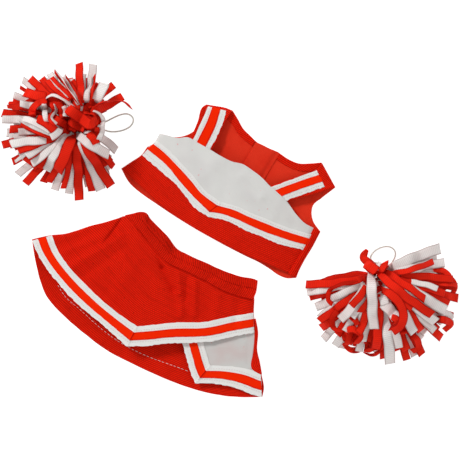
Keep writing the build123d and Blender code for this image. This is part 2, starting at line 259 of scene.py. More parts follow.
def lining_knit(name, rgb):
    """The inside of the knit: a fine net of lighter dots, without ribs."""
    cloth = Cloth(name, roughness=1.0, specular=0.02)
    place, u, v = cloth.uv()
    dots = (u / 0.95).cycle() * (v / 0.95).cycle() * 0.5 + 0.5
    fuzz = cloth.noise(place, 1.4, 3.0)
    patches = cloth.noise(place, 0.07, 2.0)
    base = cloth.mix(dots, scaled(rgb, 0.58), (min(1.0, rgb[0] * 1.25), rgb[1] * 2.2 + 0.016, rgb[2] * 2.2 + 0.010))
    base = cloth.mix(((patches - 0.45) * 1.8).within(0.35), base, scaled(rgb, 0.78))
    return cloth.finish(base, dots * 0.7 + fuzz * 0.6, 0.00018)


def mesh_cloth(name, rgb, shade_tint, pitch=0.7):
    """Fine white knit: a small mesh of holes, broad soft patches of painted shade in the shade tint, and a few stray
    red fibres.
    """
    cloth = Cloth(name, roughness=1.0, specular=0.03)
    place, u, v = cloth.uv()
    weave = (u / pitch).cycle() * (v / pitch).cycle() * 0.5 + 0.5
    shade = cloth.noise(place, 0.045, 2.0)
    fuzz = cloth.noise(place, 1.3, 3.0)
    fleck = cloth.noise(place, 0.42, 0.0)
    base = cloth.mix(weave * 0.6 + 0.4, scaled(rgb, 0.93), rgb)
    # painted shade: broad soft patches mixed towards the shade tint
    base = cloth.mix(((shade - 0.42) * 2.2).within(0.6), base, shade_tint)
    base = cloth.mix(((fleck - 0.80) * 12.0).within(0.6), base, (0.75, 0.25, 0.25))
    return cloth.finish(base, weave * 0.6 + fuzz * 0.6, 0.00012)


def tape_cloth(name, rgb, thread):
    """White twill tape: fine slanting ribs, and a row of small stitch holes down the middle of each border."""
    cloth = Cloth(name, roughness=0.9, sheen=0.05, specular=0.15)
    place, u, v = cloth.uv()
    twill = ((u + v) / 0.55).cycle() * 0.5 + 0.5
    fuzz = cloth.noise(place, 1.8, 2.0)
    along = (u / 2.0).fract() - 0.5
    inside = 5.2 - v.abs()
    hole = ((along * 2.0) * (along * 2.0) + inside * inside / 0.25).below(0.30)
    base = cloth.mix(twill * 0.5 + fuzz * 0.5, scaled(rgb, 0.90), scaled(rgb, 1.04))
    base = cloth.mix(hole * 0.30, base, thread)
    return cloth.finish(base, twill * 0.6 + fuzz * 0.5 - hole * 1.2, 0.00012)


def ribbon_cloth(name, rgb):
    """Bright ribbon with a fine cross weave."""
    cloth = Cloth(name, roughness=0.75, specular=0.03)
    place, u, v = cloth.uv()
    weave = (u / 0.5).cycle() * 0.5 + 0.5
    fuzz = cloth.noise(place, 1.1, 2.0)
    border = ((v.abs() - 2.55) * 3.0).within(1.0)
    base = cloth.mix(weave * 0.5 + fuzz * 0.5, scaled(rgb, 0.80), rgb)
    base = cloth.mix(border * 0.6, base, (0.62, 0.004, 0.001))
    return cloth.finish(base, weave * 0.7 + fuzz * 0.4, 0.00006)


def strip_cloth(name, rgb, shade, edge_shade):
    """Pompom strip: ribs across its length, painted shade along each long edge for the shadows between the strips,
    and broad patches of painted shade that darken the strips here and there."""
    cloth = Cloth(name, roughness=0.9, specular=0.06)
    place, u, v = cloth.uv()
    ribs = (u / 1.5).cycle() * ((v / 1.5).cycle() * 0.45 + 0.55) * 0.5 + 0.5
    # mask of the painted shade along both long edges
    edge = ((v.abs() - 2.45) * 2.0).within(1.0)
    fuzz = cloth.noise(place, 1.4, 3.0)
    # broad patches of painted shade
    painted_shade = cloth.noise(place, 0.04, 1.0)
    base = cloth.mix(ribs * 0.65 + fuzz * 0.35, scaled(rgb, 0.66), scaled(rgb, 1.10))
    base = cloth.mix(((painted_shade - 0.35) * 2.4).within(0.85), base, shade)
    base = cloth.mix(edge * 0.8, base, edge_shade)
    return cloth.finish(base, ribs * 0.8 + fuzz * 0.5 - edge * 0.6, 0.00018)


def thread_cloth(name, rgb):
    """Sewing thread or elastic: a fine slanting twist."""
    cloth = Cloth(name, roughness=0.7, sheen=0.1, specular=0.25)
    place, u, v = cloth.uv()
    twist = ((u + v) / 0.6).cycle() * 0.5 + 0.5
    base = cloth.mix(twist, scaled(rgb, 0.82), rgb)
    return cloth.finish(base, twist, 0.0001)


# ------------------------------------------------------------------ shapes
def run(path):
    """The length along a path of points, at each of them."""
    return np.concatenate([[0], np.cumsum(np.linalg.norm(np.diff(path, axis=0), axis=1))])


def unit(vectors, least=0.0):
    """The vectors at length 1."""
    return vectors / np.maximum(np.linalg.norm(vectors, axis=-1, keepdims=True), least)


def xy(flat):
    """The two coordinates of a grid, apart."""
    return flat[..., 0], flat[..., 1]


def smooth(points, count=None, at=None):
    """A smooth curve through the points: cubic pieces whose slope at each point is the chord between its
    neighbours, read at even steps of length, or at the shares of it that are given."""
    p = np.asarray(points, float)
    s = run(p)
    t = (np.linspace(0, 1, count) if at is None else np.asarray(at)) * s[-1]
    if len(p) == 2:
        return p[0] + (p[1] - p[0]) * (t / s[-1])[:, None]
    slope = np.gradient(p, s, axis=0)
    k = np.clip(np.searchsorted(s, t, side="right") - 1, 0, len(p) - 2)
    h = (s[k + 1] - s[k])[:, None]
    w = ((t - s[k]) / (s[k + 1] - s[k]))[:, None]
    return (
        (2 * w**3 - 3 * w**2 + 1) * p[k]
        + (w**3 - 2 * w**2 + w) * h * slope[k]
        + (3 * w**2 - 2 * w**3) * p[k + 1]
        + (w**3 - w**2) * h * slope[k + 1]
    )


def shares(count, length, rim=0.4):
    """Even shares from 0 to 1 along a cloth, with close ones at both ends for its rounded rim, in mm."""
    ends = np.array([0, 0.08, 0.3, 0.62]) * rim / length
    return np.concatenate([ends, np.linspace(rim / length, 1 - rim / length, count), 1 - ends[::-1]])


def patch(low, high, left, right, u, v):
    """A surface between four edges: the sum of the two straight blends between opposite edges, less the blend
    of the four corners."""
    c0, c1, d0, d1 = low(u)[:, None], high(u)[:, None], left(v)[None], right(v)[None]
    a, b = u[:, None, None], v[None, :, None]
    corners = (1 - a) * (1 - b) * c0[0, 0] + a * (1 - b) * c0[-1, 0] + (1 - a) * b * c1[0, 0] + a * b * c1[-1, 0]
    return (1 - b) * c0 + b * c1 + (1 - a) * d0 + a * d1 - corners


def wobble(s, size, period, seed):
    """A smooth wavering line: random heights at even places, joined by cosine ramps."""
    t = np.asarray(s) / period
    values = np.random.default_rng(seed).uniform(-1, 1, int(np.ceil(t.max())) + 3)
    k = np.floor(t).astype(int)
    w = 0.5 - 0.5 * np.cos(np.pi * (t - k))
    return size * (values[k] * (1 - w) + values[k + 1] * w)


def ridge(x, y, start, end, width, height):
    """A soft fold: a bell-shaped rise over the distance from a straight line on the table."""
    ax, ay = start
    dx, dy = end[0] - ax, end[1] - ay
    t = np.clip(((x - ax) * dx + (y - ay) * dy) / (dx * dx + dy * dy), 0, 1)
    gap = np.hypot(x - ax - t * dx, y - ay - t * dy)
    return height * np.exp(-((gap / width) ** 2))


def rounded(distance, width):
    """A quarter-round rise from 0 at an edge to 1 at that width from it."""
    t = np.clip(distance / width, 0, 1)
    return np.sqrt(np.clip(1 - (1 - t) ** 2, 0, 1))


def lengths(points, axis):
    """The distance of each grid point along its grid line, and the whole length of that line."""
    step = np.linalg.norm(np.diff(points, axis=axis), axis=-1)
    zero = np.zeros_like(np.take(step, [0], axis=axis))
    along = np.concatenate([zero, np.cumsum(step, axis=axis)], axis=axis)
    return along, np.take(along, [-1], axis=axis)


def cloth_uv(flat, centred=False):
    """UV that says how far each point is along its cloth and across it, from one edge or from the middle."""
    across, wide = lengths(flat, 1)
    return np.stack([lengths(flat, 0)[0], across - wide / 2 if centred else across], -1)


def facing(points):
    """The upward-facing unit normal at each grid point."""
    n = np.cross(np.gradient(points, axis=-3), np.gradient(points, axis=-2))
    return unit(n, 1e-9)


def on_table(local, at, turn):
    """Turns garment coordinates into places on the table, in mm."""
    a = math.radians(turn)
    x, y = local[..., 0], local[..., 1]
    return np.stack(
        [at[0] + x * math.cos(a) - y * math.sin(a), at[1] + x * math.sin(a) + y * math.cos(a), local[..., 2]], -1
    )


def quads(rows, columns):
    """The corner indices of a grid's faces."""
    i = np.arange(rows * columns).reshape(rows, columns)
    return np.stack([i[:-1, :-1], i[1:, :-1], i[1:, 1:], i[:-1, 1:]], -1).reshape(-1, 4)


def thick(points, thickness, uv):
    """A closed sheet round a grid of points: its two faces stand off by half the thickness, and close in a
    half round along its edges. Returns corners, faces and the UV of each corner."""
    a, a_end = lengths(points, 0)
    b, b_end = lengths(points, 1)
    inside = np.minimum(np.minimum(a, a_end - a), np.minimum(b, b_end - b))
    lift = facing(points) * (rounded(inside, 0.55 * thickness) * thickness / 2)[..., None]
    rows, columns = points.shape[:2]
    edge = np.zeros((rows, columns), bool)
    edge[[0, -1]] = edge[:, [0, -1]] = True
    top = np.arange(rows * columns)
    under = top.copy()
    free = ~edge.ravel()
    under[free] = rows * columns + np.arange(free.sum())
    corners = np.concatenate([(points + lift).reshape(-1, 3), (points - lift).reshape(-1, 3)[free]])
    corners_uv = np.concatenate([uv.reshape(-1, 2), uv.reshape(-1, 2)[free]])
    faces = quads(rows, columns)
    return corners, np.concatenate([faces, under[faces][:, ::-1]]), corners_uv


def piece(name, parts, material, body, replaces=(), slot=None):
    """Makes one object from meshes given as corners in mm, faces and UV, and ties it to its body."""
    corners, faces, uvs, start = [], [], [], 0
    for c, f, t in parts:
        corners.append(c)
        faces.append(f + start)
        uvs.append(t)
        start += len(c)
    corners, faces, uvs = np.concatenate(corners) * MM, np.concatenate(faces), np.concatenate(uvs)
    mesh = bpy.data.meshes.new(name)
    mesh.vertices.add(len(corners))
    mesh.vertices.foreach_set("co", corners.astype(np.float32).ravel())
    mesh.loops.add(faces.size)
    mesh.loops.foreach_set("vertex_index", faces.astype(np.int32).ravel())
    mesh.polygons.add(len(faces))
    mesh.polygons.foreach_set("loop_start", np.arange(0, faces.size, 4, dtype=np.int32))
    layer = mesh.uv_layers.new(name="UVMap")
    layer.data.foreach_set("uv", uvs[faces.ravel()].astype(np.float32).ravel())
    mesh.update(calc_edges=True)
    mesh.validate()
    mesh.shade_smooth()
    mesh.materials.append(material)
    obj = bpy.data.objects.new(name, mesh)
    bpy.context.scene.collection.objects.link(obj)
    if body:
        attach(obj, body)
    if replaces:
        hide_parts(*replaces)
    return obj


class Edge:
    """An edge of a cut cloth: smooth pieces through given points, which may meet in corners, with an optional waver
    across it."""

    def __init__(self, *curves, waver=0.0, period=2.4, seed=0):
        dense = [smooth(c, 40 * len(c)) for c in curves]
        self.line = np.concatenate([d if i == 0 else d[1:] for i, d in enumerate(dense)])
        self.s = run(self.line)
        self.length = self.s[-1]
        if waver:
            along = unit(np.gradient(self.line, axis=0))
            across = np.stack([-along[:, 1], along[:, 0]], -1)
            fade = np.clip(np.minimum(self.s, self.length - self.s) / 2, 0, 1)
            self.line = self.line + across * (wobble(self.s, waver, period, seed) * fade)[:, None]

    def __call__(self, share):
        t = np.asarray(share) * self.length
        return np.stack([np.interp(t, self.s, self.line[:, i]) for i in range(2)], axis=-1)

    def toward(self, other, share):
        """The edge that runs at a share of the way to another one."""
        t = np.linspace(0, 1, 400)
        return Edge(*[self(t) * (1 - share) + other(t) * share])


class Garment:
    """A garment's place on the table, and the height of its cloth there."""

    def __init__(self, at, turn, body):
        self.at, self.turn, self.body = at, turn, body

    def grid(self, low, high, left, right, step):
        """The cut cloth as a grid of garment coordinates, with close lines along its edges."""
        along, across = max(low.length, high.length), max(left.length, right.length)
        u = shares(max(3, round(along / step[0])), along)
        v = shares(max(3, round(across / step[1])), across)
        return patch(low, high, left, right, u, v)

    def span(self, low, high, step):
        """The cloth between two edges whose ends are joined by straight lines."""
        return self.grid(low, high, straight(low(0), high(0)), straight(low(1), high(1)), step)

    def lay(self, flat, height):
        """The grid laid on the table at a height in mm."""
        return on_table(
            np.concatenate([flat, np.broadcast_to(height, flat.shape[:2])[..., None]], -1), self.at, self.turn
        )


TOP = Garment(TOP_AT, TOP_TURN, "top")
SKIRT = Garment(SKIRT_AT, SKIRT_TURN, "skirt")


def top_arch(x, y):
    """Height of the underside of the top's front: a flat arch across the garment."""
    return 1.6 + 8.0 * (1 - ((x - 5) / 82) ** 2)


def cone(x, y, edge, waist, hem):
    """Height of the underside of a skirt front: a flat arch whose middle, half width and rise change evenly from
    the waist to the hem."""
    t = (55 - y) / 111
    middle, half, rise = (waist[i] + (hem[i] - waist[i]) * t for i in range(3))
    return edge + rise * np.clip(1 - ((x - middle) / half) ** 2, 0, 1)


def skirt_arch(x, y):
    """Height of the underside of the skirt's overlay."""
    return cone(x, y, 3.2, (5, 48, 5.0), (-23, 146, 10.0))


def inset_arch(x, y):
    """Height of the underside of the skirt's side inset."""
    return cone(x, y, 2.1, (5, 48, 3.0), (-23, 146, 6.0))


def step_fold(x, y, start, end, width, height, fade):
    """A tuck: the cloth rises to a height on the right of a line, and sinks back over the fade distance."""
    ax, ay = start
    dx, dy = end[0] - ax, end[1] - ay
    span = math.hypot(dx, dy)
    along = ((x - ax) * dx + (y - ay) * dy) / span**2
    off = ((x - ax) * dy - (y - ay) * dx) / span
    window = np.clip(1.4 - np.abs(along - 0.5) * 1.6, 0, 1)
    rise = 1 / (1 + np.exp(-off / width * 4))
    return -height * window * (1 - rise) * np.exp(-np.clip(-off, 0, None) / fade)


def creases(x, y, folds):
    """The sum of a list of soft folds."""
    return sum(ridge(x, y, *fold) for fold in folds)


TOP_FOLDS = [
    ((10, 27), (30, 20), 4.5, 1.1),
    ((30, 20), (46, 12), 4.0, 1.0),
    ((-40, 28), (-30, 14), 5.0, 0.7),
    ((-12, 30), (-18, 8), 6.0, 0.8),
    ((52, 24), (66, 14), 5.0, -0.7),
    ((-2, 20), (6, 4), 5.0, -0.6),
    ((20, 10), (62, 13), 4.0, -0.5),
]
HEM_FOLDS = [((-6, -16), (-3, -26), 4.0, 0.7), ((30, -14), (34, -25), 5.0, 0.5), ((-48, -6), (-52, -22), 6.0, -0.5)]


def top_front_height(x, y, side):
    """Middle of the top's front cloth: the arch and its folds, rounded down to the back at the sides."""
    full = top_arch(x, y) + 0.4 + creases(x, y, TOP_FOLDS + HEM_FOLDS)
    return TOP_SIDE + (full - TOP_SIDE) * rounded(side, 4.5)


def side_distance(flat):
    """How far each point of a grid is from its left and right edges, in mm."""
    along, whole = lengths(flat, 0)
    return np.minimum(along, whole - along)


def sheet_of(name, garment, flat, height, thickness, material, uv=None, replaces=(), slot=None, body=None, cut=None):
    """One closed sheet of a garment from its flat grid and height."""
    points = garment.lay(flat, height)
    obj = piece(
        name, [thick(points, thickness, flat if uv is None else uv)], material, body or garment.body, replaces, slot
    )
    if cut:
        under = () if "back" in name else ("top_back_left_half",) if garment is TOP else ("skirt_back_panel",)
    return obj


# ------------------------------------------------------------------ the top's edges, in its own mm
TOP_HEM = Edge(
    [
        (-74.5, -15.9), (-62.8, -18.1), (-38.8, -23.4), (-25.1, -25.7), (0.8, -26.6), (21, -25.7), (43.5, -24.1),
        (63.9, -21.2), (80.2, -19.2)
    ]
)
CHEVRON = Edge(
    [(-65.4, 9.6), (-55, 9.4), (-41.5, 6.3), (-26, 1.1), (-14.5, -2.8), (3, -6)],
    [(3, -6), (13.7, -2.4), (25.8, -0.8), (38, 0.8), (50, 2.4), (61.5, 4.8), (80, 9.5)],
)
YOKE_TOP = Edge(
    [
        (-62.4, 23.1), (-56.4, 25), (-49.2, 27), (-42.1, 31.6), (-33.2, 31.9), (-22.9, 32.2), (-13.1, 32.1),
        (-3.2, 32.8), (5.7, 35.4)
    ]
    + [(13.8, 35), (22.1, 34.1), (32.8, 31.3), (37.9, 30.4), (49.1, 28), (61.3, 22.8), (70.5, 20.4), (78.7, 20.8)]
)
RIBBON_UP_LEFT = [(-62.8, 13.5), (-53.4, 12.2), (-38.1, 8.3), (-22.2, 3.4), (-12.1, -0.4), (-1, -1.9), (4.6, -2.3)]
RIBBON_UP_RIGHT = [(4.6, -2.3), (18.1, 1.2), (30.3, 2.5), (42.3, 4.4), (54.2, 6.2), (65.8, 8.6), (79.6, 12)]
RIBBON_LOW_LEFT = [(-65.4, 7.6), (-56.5, 6.5), (-44.8, 4.3), (-29.9, -1.2), (-17, -5.3), (1.6, -9.9)]
RIBBON_LOW_RIGHT = [
    (1.6, -9.9), (9.4, -6.6), (21.3, -4.1), (33.5, -2.8), (45.7, -1.4), (57.3, 0.9), (70.2, 3.8), (80, 6.7)
]
TAPE_UP_LEFT = [(-62.3, 17.2), (-52.4, 15.9), (-37, 12), (-21, 7), (-11, 3.2), (0, 1.7), (5.4, 1.4)]
TAPE_UP_RIGHT = [(5.4, 1.4), (18.6, 4.8), (30.8, 6.1), (42.9, 8), (54.8, 9.8), (66.4, 12.2), (79.4, 15.6)]
TAPE_LOW_LEFT = [(-66, 1.5), (-56.5, -0.1), (-44.8, -2.3), (-30.1, -5.2), (-20, -9), (-10, -12.8), (3.4, -13.6)]
TAPE_LOW_RIGHT = [
    (3.4, -13.6), (12.9, -9.9), (23.8, -8.4), (36.3, -7.6), (45.7, -5.9), (60.1, -3.9), (71.2, -0.6), (80.2, 2)
]
BACK_LEFT_HEM = Edge(
    [(-74.5, -15.9), (-64.5, -21.7), (-48.1, -24.8), (-38.5, -25.4), (-25.6, -26.2), (0, -26.8), (24, -26.2)]
)
BACK_RIGHT_HEM = Edge([(24, -26.2), (44, -25), (55, -24), (65, -24.2), (73, -24.8), (80, -23.6), (85.6, -20)])
LEFT_ARM = Edge(
    [(-74.5, -15.9), (-66.2, 1.5), (-62.8, 13.8), (-62.4, 23.1)], [(-62.4, 23.1), (-49, 28), (-41, 38), (-44.1, 58)]
)
RIGHT_ARM = Edge(
    [(85.6, -20), (85, -15.2), (84.3, -5.2), (84.4, 7.9), (83.7, 21.1)],
    [(83.7, 21.1), (74.6, 25.5), (70.3, 30.7), (68.7, 35.6), (71.5, 44), (76.5, 56.5)],
)
LEFT_NECK = Edge(
    [(-44.1, 58), (-36.7, 63.1), (-28.1, 66.2), (-23, 67.5)],
    [(-23, 67.5), (-16.4, 64), (-8.6, 59.5), (-0.9, 57.5), (5.2, 56), (24, 57.6)]
)
RIGHT_NECK = Edge([(24, 57.6), (34.5, 57), (41.7, 58), (50.5, 63), (57.3, 67.9)], [(57.3, 67.9), (76.5, 56.5)])
CENTRE = Edge([(24, -26.2), (24, 57.6)])


def straight(*points):
    """An edge through a few points."""
    return Edge(list(points))


def back_height(x, y):
    """Middle of the top's back: flat on the table with a slight swell."""
    swell = creases(x, y, [((-20, 50), (4, 44), 7, 0.8), ((36, 44), (56, 50), 7, 0.7), ((70, 20), (74, 34), 6, 0.6)])
    return 0.42 + swell


def build_top_back(materials, sizes):
    """The two halves of the back, with the neck facing inside them."""
    knit = sizes.knit / MM
    for name, low, high, left, right, node, cut in (
        ("top_back_left", BACK_LEFT_HEM, LEFT_NECK, LEFT_ARM, CENTRE, "top_back_left_half", (0.102, 0.096)),
        ("top_back_right", BACK_RIGHT_HEM, RIGHT_NECK, CENTRE, RIGHT_ARM, "top_back_right_half", (0.066, 0.096)),
    ):
        flat = TOP.grid(low, high, left, right, (1.0, 0.8))
        sheet_of(name, TOP, flat, back_height(*xy(flat)), knit, materials["lining"], None, (node,), "lining", cut=cut)
    for side, neck, inner in (
        (
            "left", [(-24, 66.6), (-16.4, 63.7), (-8.6, 59.2), (-0.9, 57.1), (4.4, 56.0)],
            [(-23.6, 59.5), (-17, 57.5), (-9, 53.6), (-1, 51.9), (4.4, 51)]
        ),
        (
            "right", [(24.5, 57.2), (34.5, 56.7), (41.7, 57.7), (50.5, 62.6), (57, 67.2)],
            [(24.5, 52), (34.5, 51.6), (43, 52.5), (51.5, 56), (58, 59.5)]
        ),
    ):
        flat = TOP.span(Edge(inner), Edge(neck), (1.0, 0.7))
        lift = back_height(*xy(flat)) + 0.78
        sheet_of(f"top_{side}_neck_facing", TOP, flat, lift, 0.6, materials["red_knit"])


def build_lap(materials, sizes):
    """The lap of the back closure, which bends along its sewn edge."""
    knit = sizes.knit / MM
    low = Edge([(5, -25.8), (14, -26), (25.6, -25.8)])
    high = Edge([(5, 55.6), (14, 56.4), (25.6, 57)], waver=0.1, seed=3)
    flat = TOP.grid(
        low, high, straight((5, -25.8), (5.3, 20), (5, 55.6)), straight((25.6, -25.8), (25.6, 57)), (0.7, 0.9)
    )
    x, y = xy(flat)
    drop = np.clip((x - 19.5) / 4.2, 0, 1)
    height = 2.62 - 1.36 * drop * drop * (3 - 2 * drop) + wobble(y + 30, 0.12, 7, 5)
    points = TOP.lay(flat, height)
    lap = piece("top_lap_cloth", [thick(points, knit, flat)], materials["lining"], None, ("top_back_lap",), "lining")
    a, b = TOP.lay(np.array([[[24.6, 15.0]]]), 2.0)[0, 0] * MM, TOP.lay(np.array([[[20.5, 15.0]]]), 2.0)[0, 0] * MM
    tuple(a)
    tuple(b)
    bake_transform(lap)


def braid_arm(name, garment, edges, heights, materials, sizes, nodes, seeds):
    """One arm of braid: white tape with the red ribbon on it, each between its own two edges, lying on the
    cloth height that is given."""
    tape_low, ribbon_low, ribbon_up, tape_up = edges
    knit, tape, ribbon = sizes.knit / MM, sizes.tape / MM, sizes.ribbon / MM
    for label, low_points, high_points, above, thickness, waver, seed in (
        ("tape", tape_low, tape_up, knit / 2 + tape / 2 + SEWN, tape, 0.34, seeds[0]),
        ("ribbon", ribbon_low, ribbon_up, knit / 2 + tape + ribbon / 2 + 2 * SEWN, ribbon, 0.10, seeds[1]),
    ):
        low = Edge(low_points, waver=waver, period=1.8, seed=seed)
        high = Edge(high_points, waver=waver * 0.5, seed=seed + 1)
        flat = garment.span(low, high, (0.7, 0.7))
        points = garment.lay(flat, heights(*xy(flat)) + above)
        slot = "white_tape" if label == "tape" else "red_ribbon"
        piece(
            f"{name}_{label}", [thick(points, thickness, cloth_uv(flat, True))], materials[slot], garment.body,
            (nodes[label],), slot
        )


def build_top_front(materials, sizes):
    """The white yoke, the ribbed band under it, and the strip of the back that comes round the right side."""
    knit = sizes.knit / MM
    left_low = straight((-74.5, -15.9), (-70.4, -7.5), (-66.2, 1.5), (-65.4, 9.6))
    right_low = straight((80.2, -19.2), (80.3, -5), (80, 9.5))
    flat = TOP.grid(TOP_HEM, CHEVRON, left_low, right_low, (0.9, 0.6))
    x, y = xy(flat)
    hem = TOP_HEM(np.linspace(0, 1, 300))
    uv = np.stack([x, y - np.interp(x, hem[:, 0], hem[:, 1])], -1)
    sheet_of(
        "top_front_band_knit", TOP, flat, top_front_height(x, y, side_distance(flat)), knit, materials["red_knit"],
        uv, ("top_front_band",), "red_knit", cut=(0.158, 0.033)
    )

    flat = TOP.grid(
        CHEVRON, YOKE_TOP, straight((-65.4, 9.6), (-62.8, 13.8), (-62.4, 23.1)),
        straight((80, 9.5), (79.3, 14), (78.7, 20.8)), (0.9, 0.6)
    )
    x, y = xy(flat)
    sheet_of(
        "top_front_yoke_cloth", TOP, flat, top_front_height(x, y, side_distance(flat)) + 0.02, knit,
        materials["white_cloth"], None, ("top_front_yoke",), "white_cloth", cut=(0.148, 0.036)
    )

    seam = Edge([(79.4, -20), (79.6, -6), (79.2, 8), (78.2, 21)])
    fold = Edge([(85.8, -19.8), (85, -15.2), (84.3, -5.2), (84.4, 7.9), (83.7, 21.1)])
    flat = TOP.span(seam, fold, (0.8, 0.45))
    across, wide = lengths(flat, 1)
    t = across / wide
    height = 1.15 + 2.6 * rounded(wide - across, 4.5) * (1 - 0.35 * (1 - rounded(across, 1.2)))
    uv = cloth_uv(flat)
    sheet_of(
        "top_right_side_strip", TOP, flat, height, knit, materials["red_knit"], uv, ("top_right_side_seam",),
        "red_knit"
    )

    left = Edge([(-73.6, -15.6), (-65.4, 1.5), (-62.2, 13.8), (-61.8, 22.8)])
    inner = Edge([(-69.6, -16.5), (-61.6, 1), (-58.4, 13.5), (-58.2, 23)])
    flat = TOP.span(left, inner, (1, 0.5))
    sheet_of(
        "top_left_side_allowance", TOP, flat, 1.15 + 0.25 * rounded(lengths(flat, 1)[0], 2), 0.5,
        materials["red_knit"], None, ("top_left_side_seam",), "red_knit"
    )


def strap_height(y, root, top, shoulder):
    """Middle of a strap from under the yoke down to the shoulder, where it folds over on to the back."""
    t = np.clip((y - root[0]) / (top[0] - root[0]), 0, 1)
    lie = root[1] + (top[1] - root[1]) * t + 1.6 * np.sin(np.pi * t) ** 0.8
    return STRAP_END + (lie - STRAP_END) * rounded(shoulder, 4.0)


def build_straps(materials, sizes):
    """The two shoulder straps with turned-in margins, and their braid."""
    knit = sizes.knit / MM
    for side, outer, inner, shoulder, root, top, edges, seeds in (
        (
            "left",
            [(-38.5, 26), (-39.8, 33.2), (-41.7, 46.4), (-44.1, 58), (-43, 60.6)],
            [(-21, 26), (-21.8, 33), (-21.9, 40), (-23.7, 54.4), (-23.4, 66.9)],
            [(-43, 60.6), (-36.7, 63.1), (-28.1, 66.2), (-23.4, 66.9)],
            (31.5, 6.6),
            (62, 4.6),
            (
                [(-22.4, 30), (-22.7, 34), (-23.6, 50), (-27.1, 64.6)],
                [(-26.4, 30), (-26.7, 34), (-28.2, 50), (-31.6, 63.6)],
                [(-34.2, 30), (-34.5, 34), (-35.7, 50), (-37.9, 61.6)],
                [(-37.8, 30), (-38, 34), (-39.6, 50), (-41, 60.4)],
            ),
            (31, 33),
        ),
        (
            "right",
            [(28.4, 25), (32.8, 31.3), (45, 46), (57.1, 60.6), (57.6, 67.4)],
            [(46, 23), (49.1, 28), (61, 40.3), (71.3, 51.4), (76.2, 56.4)],
            [(57.6, 67.4), (76.2, 56.4)],
            (29, 6.4),
            (58, 4.4),
            (
                [(47.6, 26), (49.1, 28.4), (59, 40.5), (69, 52.7)],
                [(42.6, 27.5), (44, 29.4), (54.6, 42.8), (65.7, 55.6)],
                [(36.2, 29), (37.3, 30.6), (48.4, 44.6), (60.3, 58.4)],
                [(32, 30), (33.4, 31.6), (45.4, 46.2), (57.1, 60.6)],
            ),
            (41, 43),
        ),
    ):
        body_edge, other_edge = Edge(outer), Edge(inner)
        foot, end = straight(outer[0], inner[0]), Edge(shoulder)
        flat = TOP.grid(body_edge, other_edge, foot, end, (0.7, 0.5))
        x, y = xy(flat)
        reach, whole = lengths(flat, 0)
        across, wide = lengths(flat, 1)
        margin = np.minimum(across, wide - across)

        def height(px, py, root=root, top=top, shoulder=shoulder):
            line = smooth(shoulder, 200) if len(shoulder) > 2 else np.linspace(*np.array(shoulder, float), 200)
            gap = np.min(np.hypot(px[..., None] - line[:, 0], py[..., None] - line[:, 1]), axis=-1)
            return strap_height(py, root, top, gap)

        turned = 0.35 * rounded(margin, 0.5) * (1 - rounded(np.clip(margin - 2.0, 0, None), 0.6))
        uv = np.stack([across, reach], -1)
        sheet_of(
            f"top_{side}_strap_knit", TOP, flat, height(x, y) + turned, 1.1, materials["red_knit"], uv,
            (f"top_{side}_strap",), "red_knit", cut=(0.044, 0.024)
        )
        nodes = {"tape": f"top_{side}_strap_tape", "ribbon": f"top_{side}_strap_ribbon"}
        braid_arm(
            f"top_{side}_strap_braid", TOP, edges, lambda px, py, h=height: h(px, py) + 0.2, materials, sizes, nodes,
            seeds
        )


MITRE_LIFT = 1.45  # height of the ribbon's folded edge over the middle of the cloth, in mm


def mitre(name, garment, start, end, height, materials):
    """The folded edge of the ribbon across a corner of the braid: a thin tube in a darker red, painted shade along
    the fold.
    """
    line = np.linspace(start, end, 14)
    points = np.column_stack([line, height(*xy(line)) + MITRE_LIFT])
    piece(
        f"{name}_mitre", [tube(on_table(points, garment.at, garment.turn), 0.34, 8)], materials["fold"], garment.body
    )


def build_top_braid(materials, sizes):
    """The chevron braid over the seam between the yoke and the band, folded to a mitre at its point."""

    def height(x, y):
        sides = np.minimum(x + 66.5 - np.clip(y - 1.5, -9, 20) * 0.22, 80.6 - x)
        return top_front_height(x, y, sides) + ridge(x, y, (3.4, -13.6), (5.4, 1.4), 0.8, 0.35)

    for side, edges, seeds in (
        ("left", (TAPE_LOW_LEFT, RIBBON_LOW_LEFT, RIBBON_UP_LEFT, TAPE_UP_LEFT), (11, 13)),
        ("right", (TAPE_LOW_RIGHT, RIBBON_LOW_RIGHT, RIBBON_UP_RIGHT, TAPE_UP_RIGHT), (15, 17)),
    ):
        nodes = {"tape": f"top_chevron_tape_{side}", "ribbon": f"top_chevron_ribbon_{side}"}
        braid_arm(f"top_chevron_{side}", TOP, edges, height, materials, sizes, nodes, seeds)
    mitre("top_chevron", TOP, (1.6, -9.9), (4.6, -2.3), height, materials)


# ------------------------------------------------------------------ the skirt's edges, in its own mm
SKIRT_HEM = Edge(
    [
        (-110.2, -5.4), (-100.4, -18.2), (-91, -29), (-80, -38.6), (-72.5, -42.2), (-55.4, -47.4), (-36, -51.5),
        (-17.2, -54.2), (5.5, -53.8)
    ]
    + [(26.5, -52.7), (50.8, -49.9), (72.5, -44.8), (90.3, -37.7), (105.9, -29.2)],
    waver=0.12,
    period=6,
    seed=51,
)
OVER_LOW_LEFT = [
    (-109.7, -5.9), (-101.1, -12.8), (-90.7, -18.8), (-77.5, -24.7), (-63.2, -30), (-44.9, -34.7), (-25.5, -38.7),
    (-15.5, -41.3), (-5.8, -43.6)
]
OVER_LOW_RIGHT = [(-5.8, -43.6), (7.5, -36), (20.2, -27.4), (37.8, -17.3), (50.8, -9.3), (62.6, 0.9), (76.8, 12.2)]
OVER_UP_LEFT = [
    (-97.9, 5.1), (-88.3, -3.1), (-77.3, -8.8), (-66.4, -13.1), (-52.7, -17.3), (-37.6, -21.4), (-24.7, -23.9),
    (-5.7, -26)
]
OVER_UP_RIGHT = [(-5.7, -26), (7.5, -17.1), (21.4, -8), (38.1, 1.1), (53.1, 13.4), (69, 25.5)]
INSET_OUT_LEFT = [(30.5, -20.4), (41.3, -31.9), (48.3, -39.2), (54.8, -44.2)]
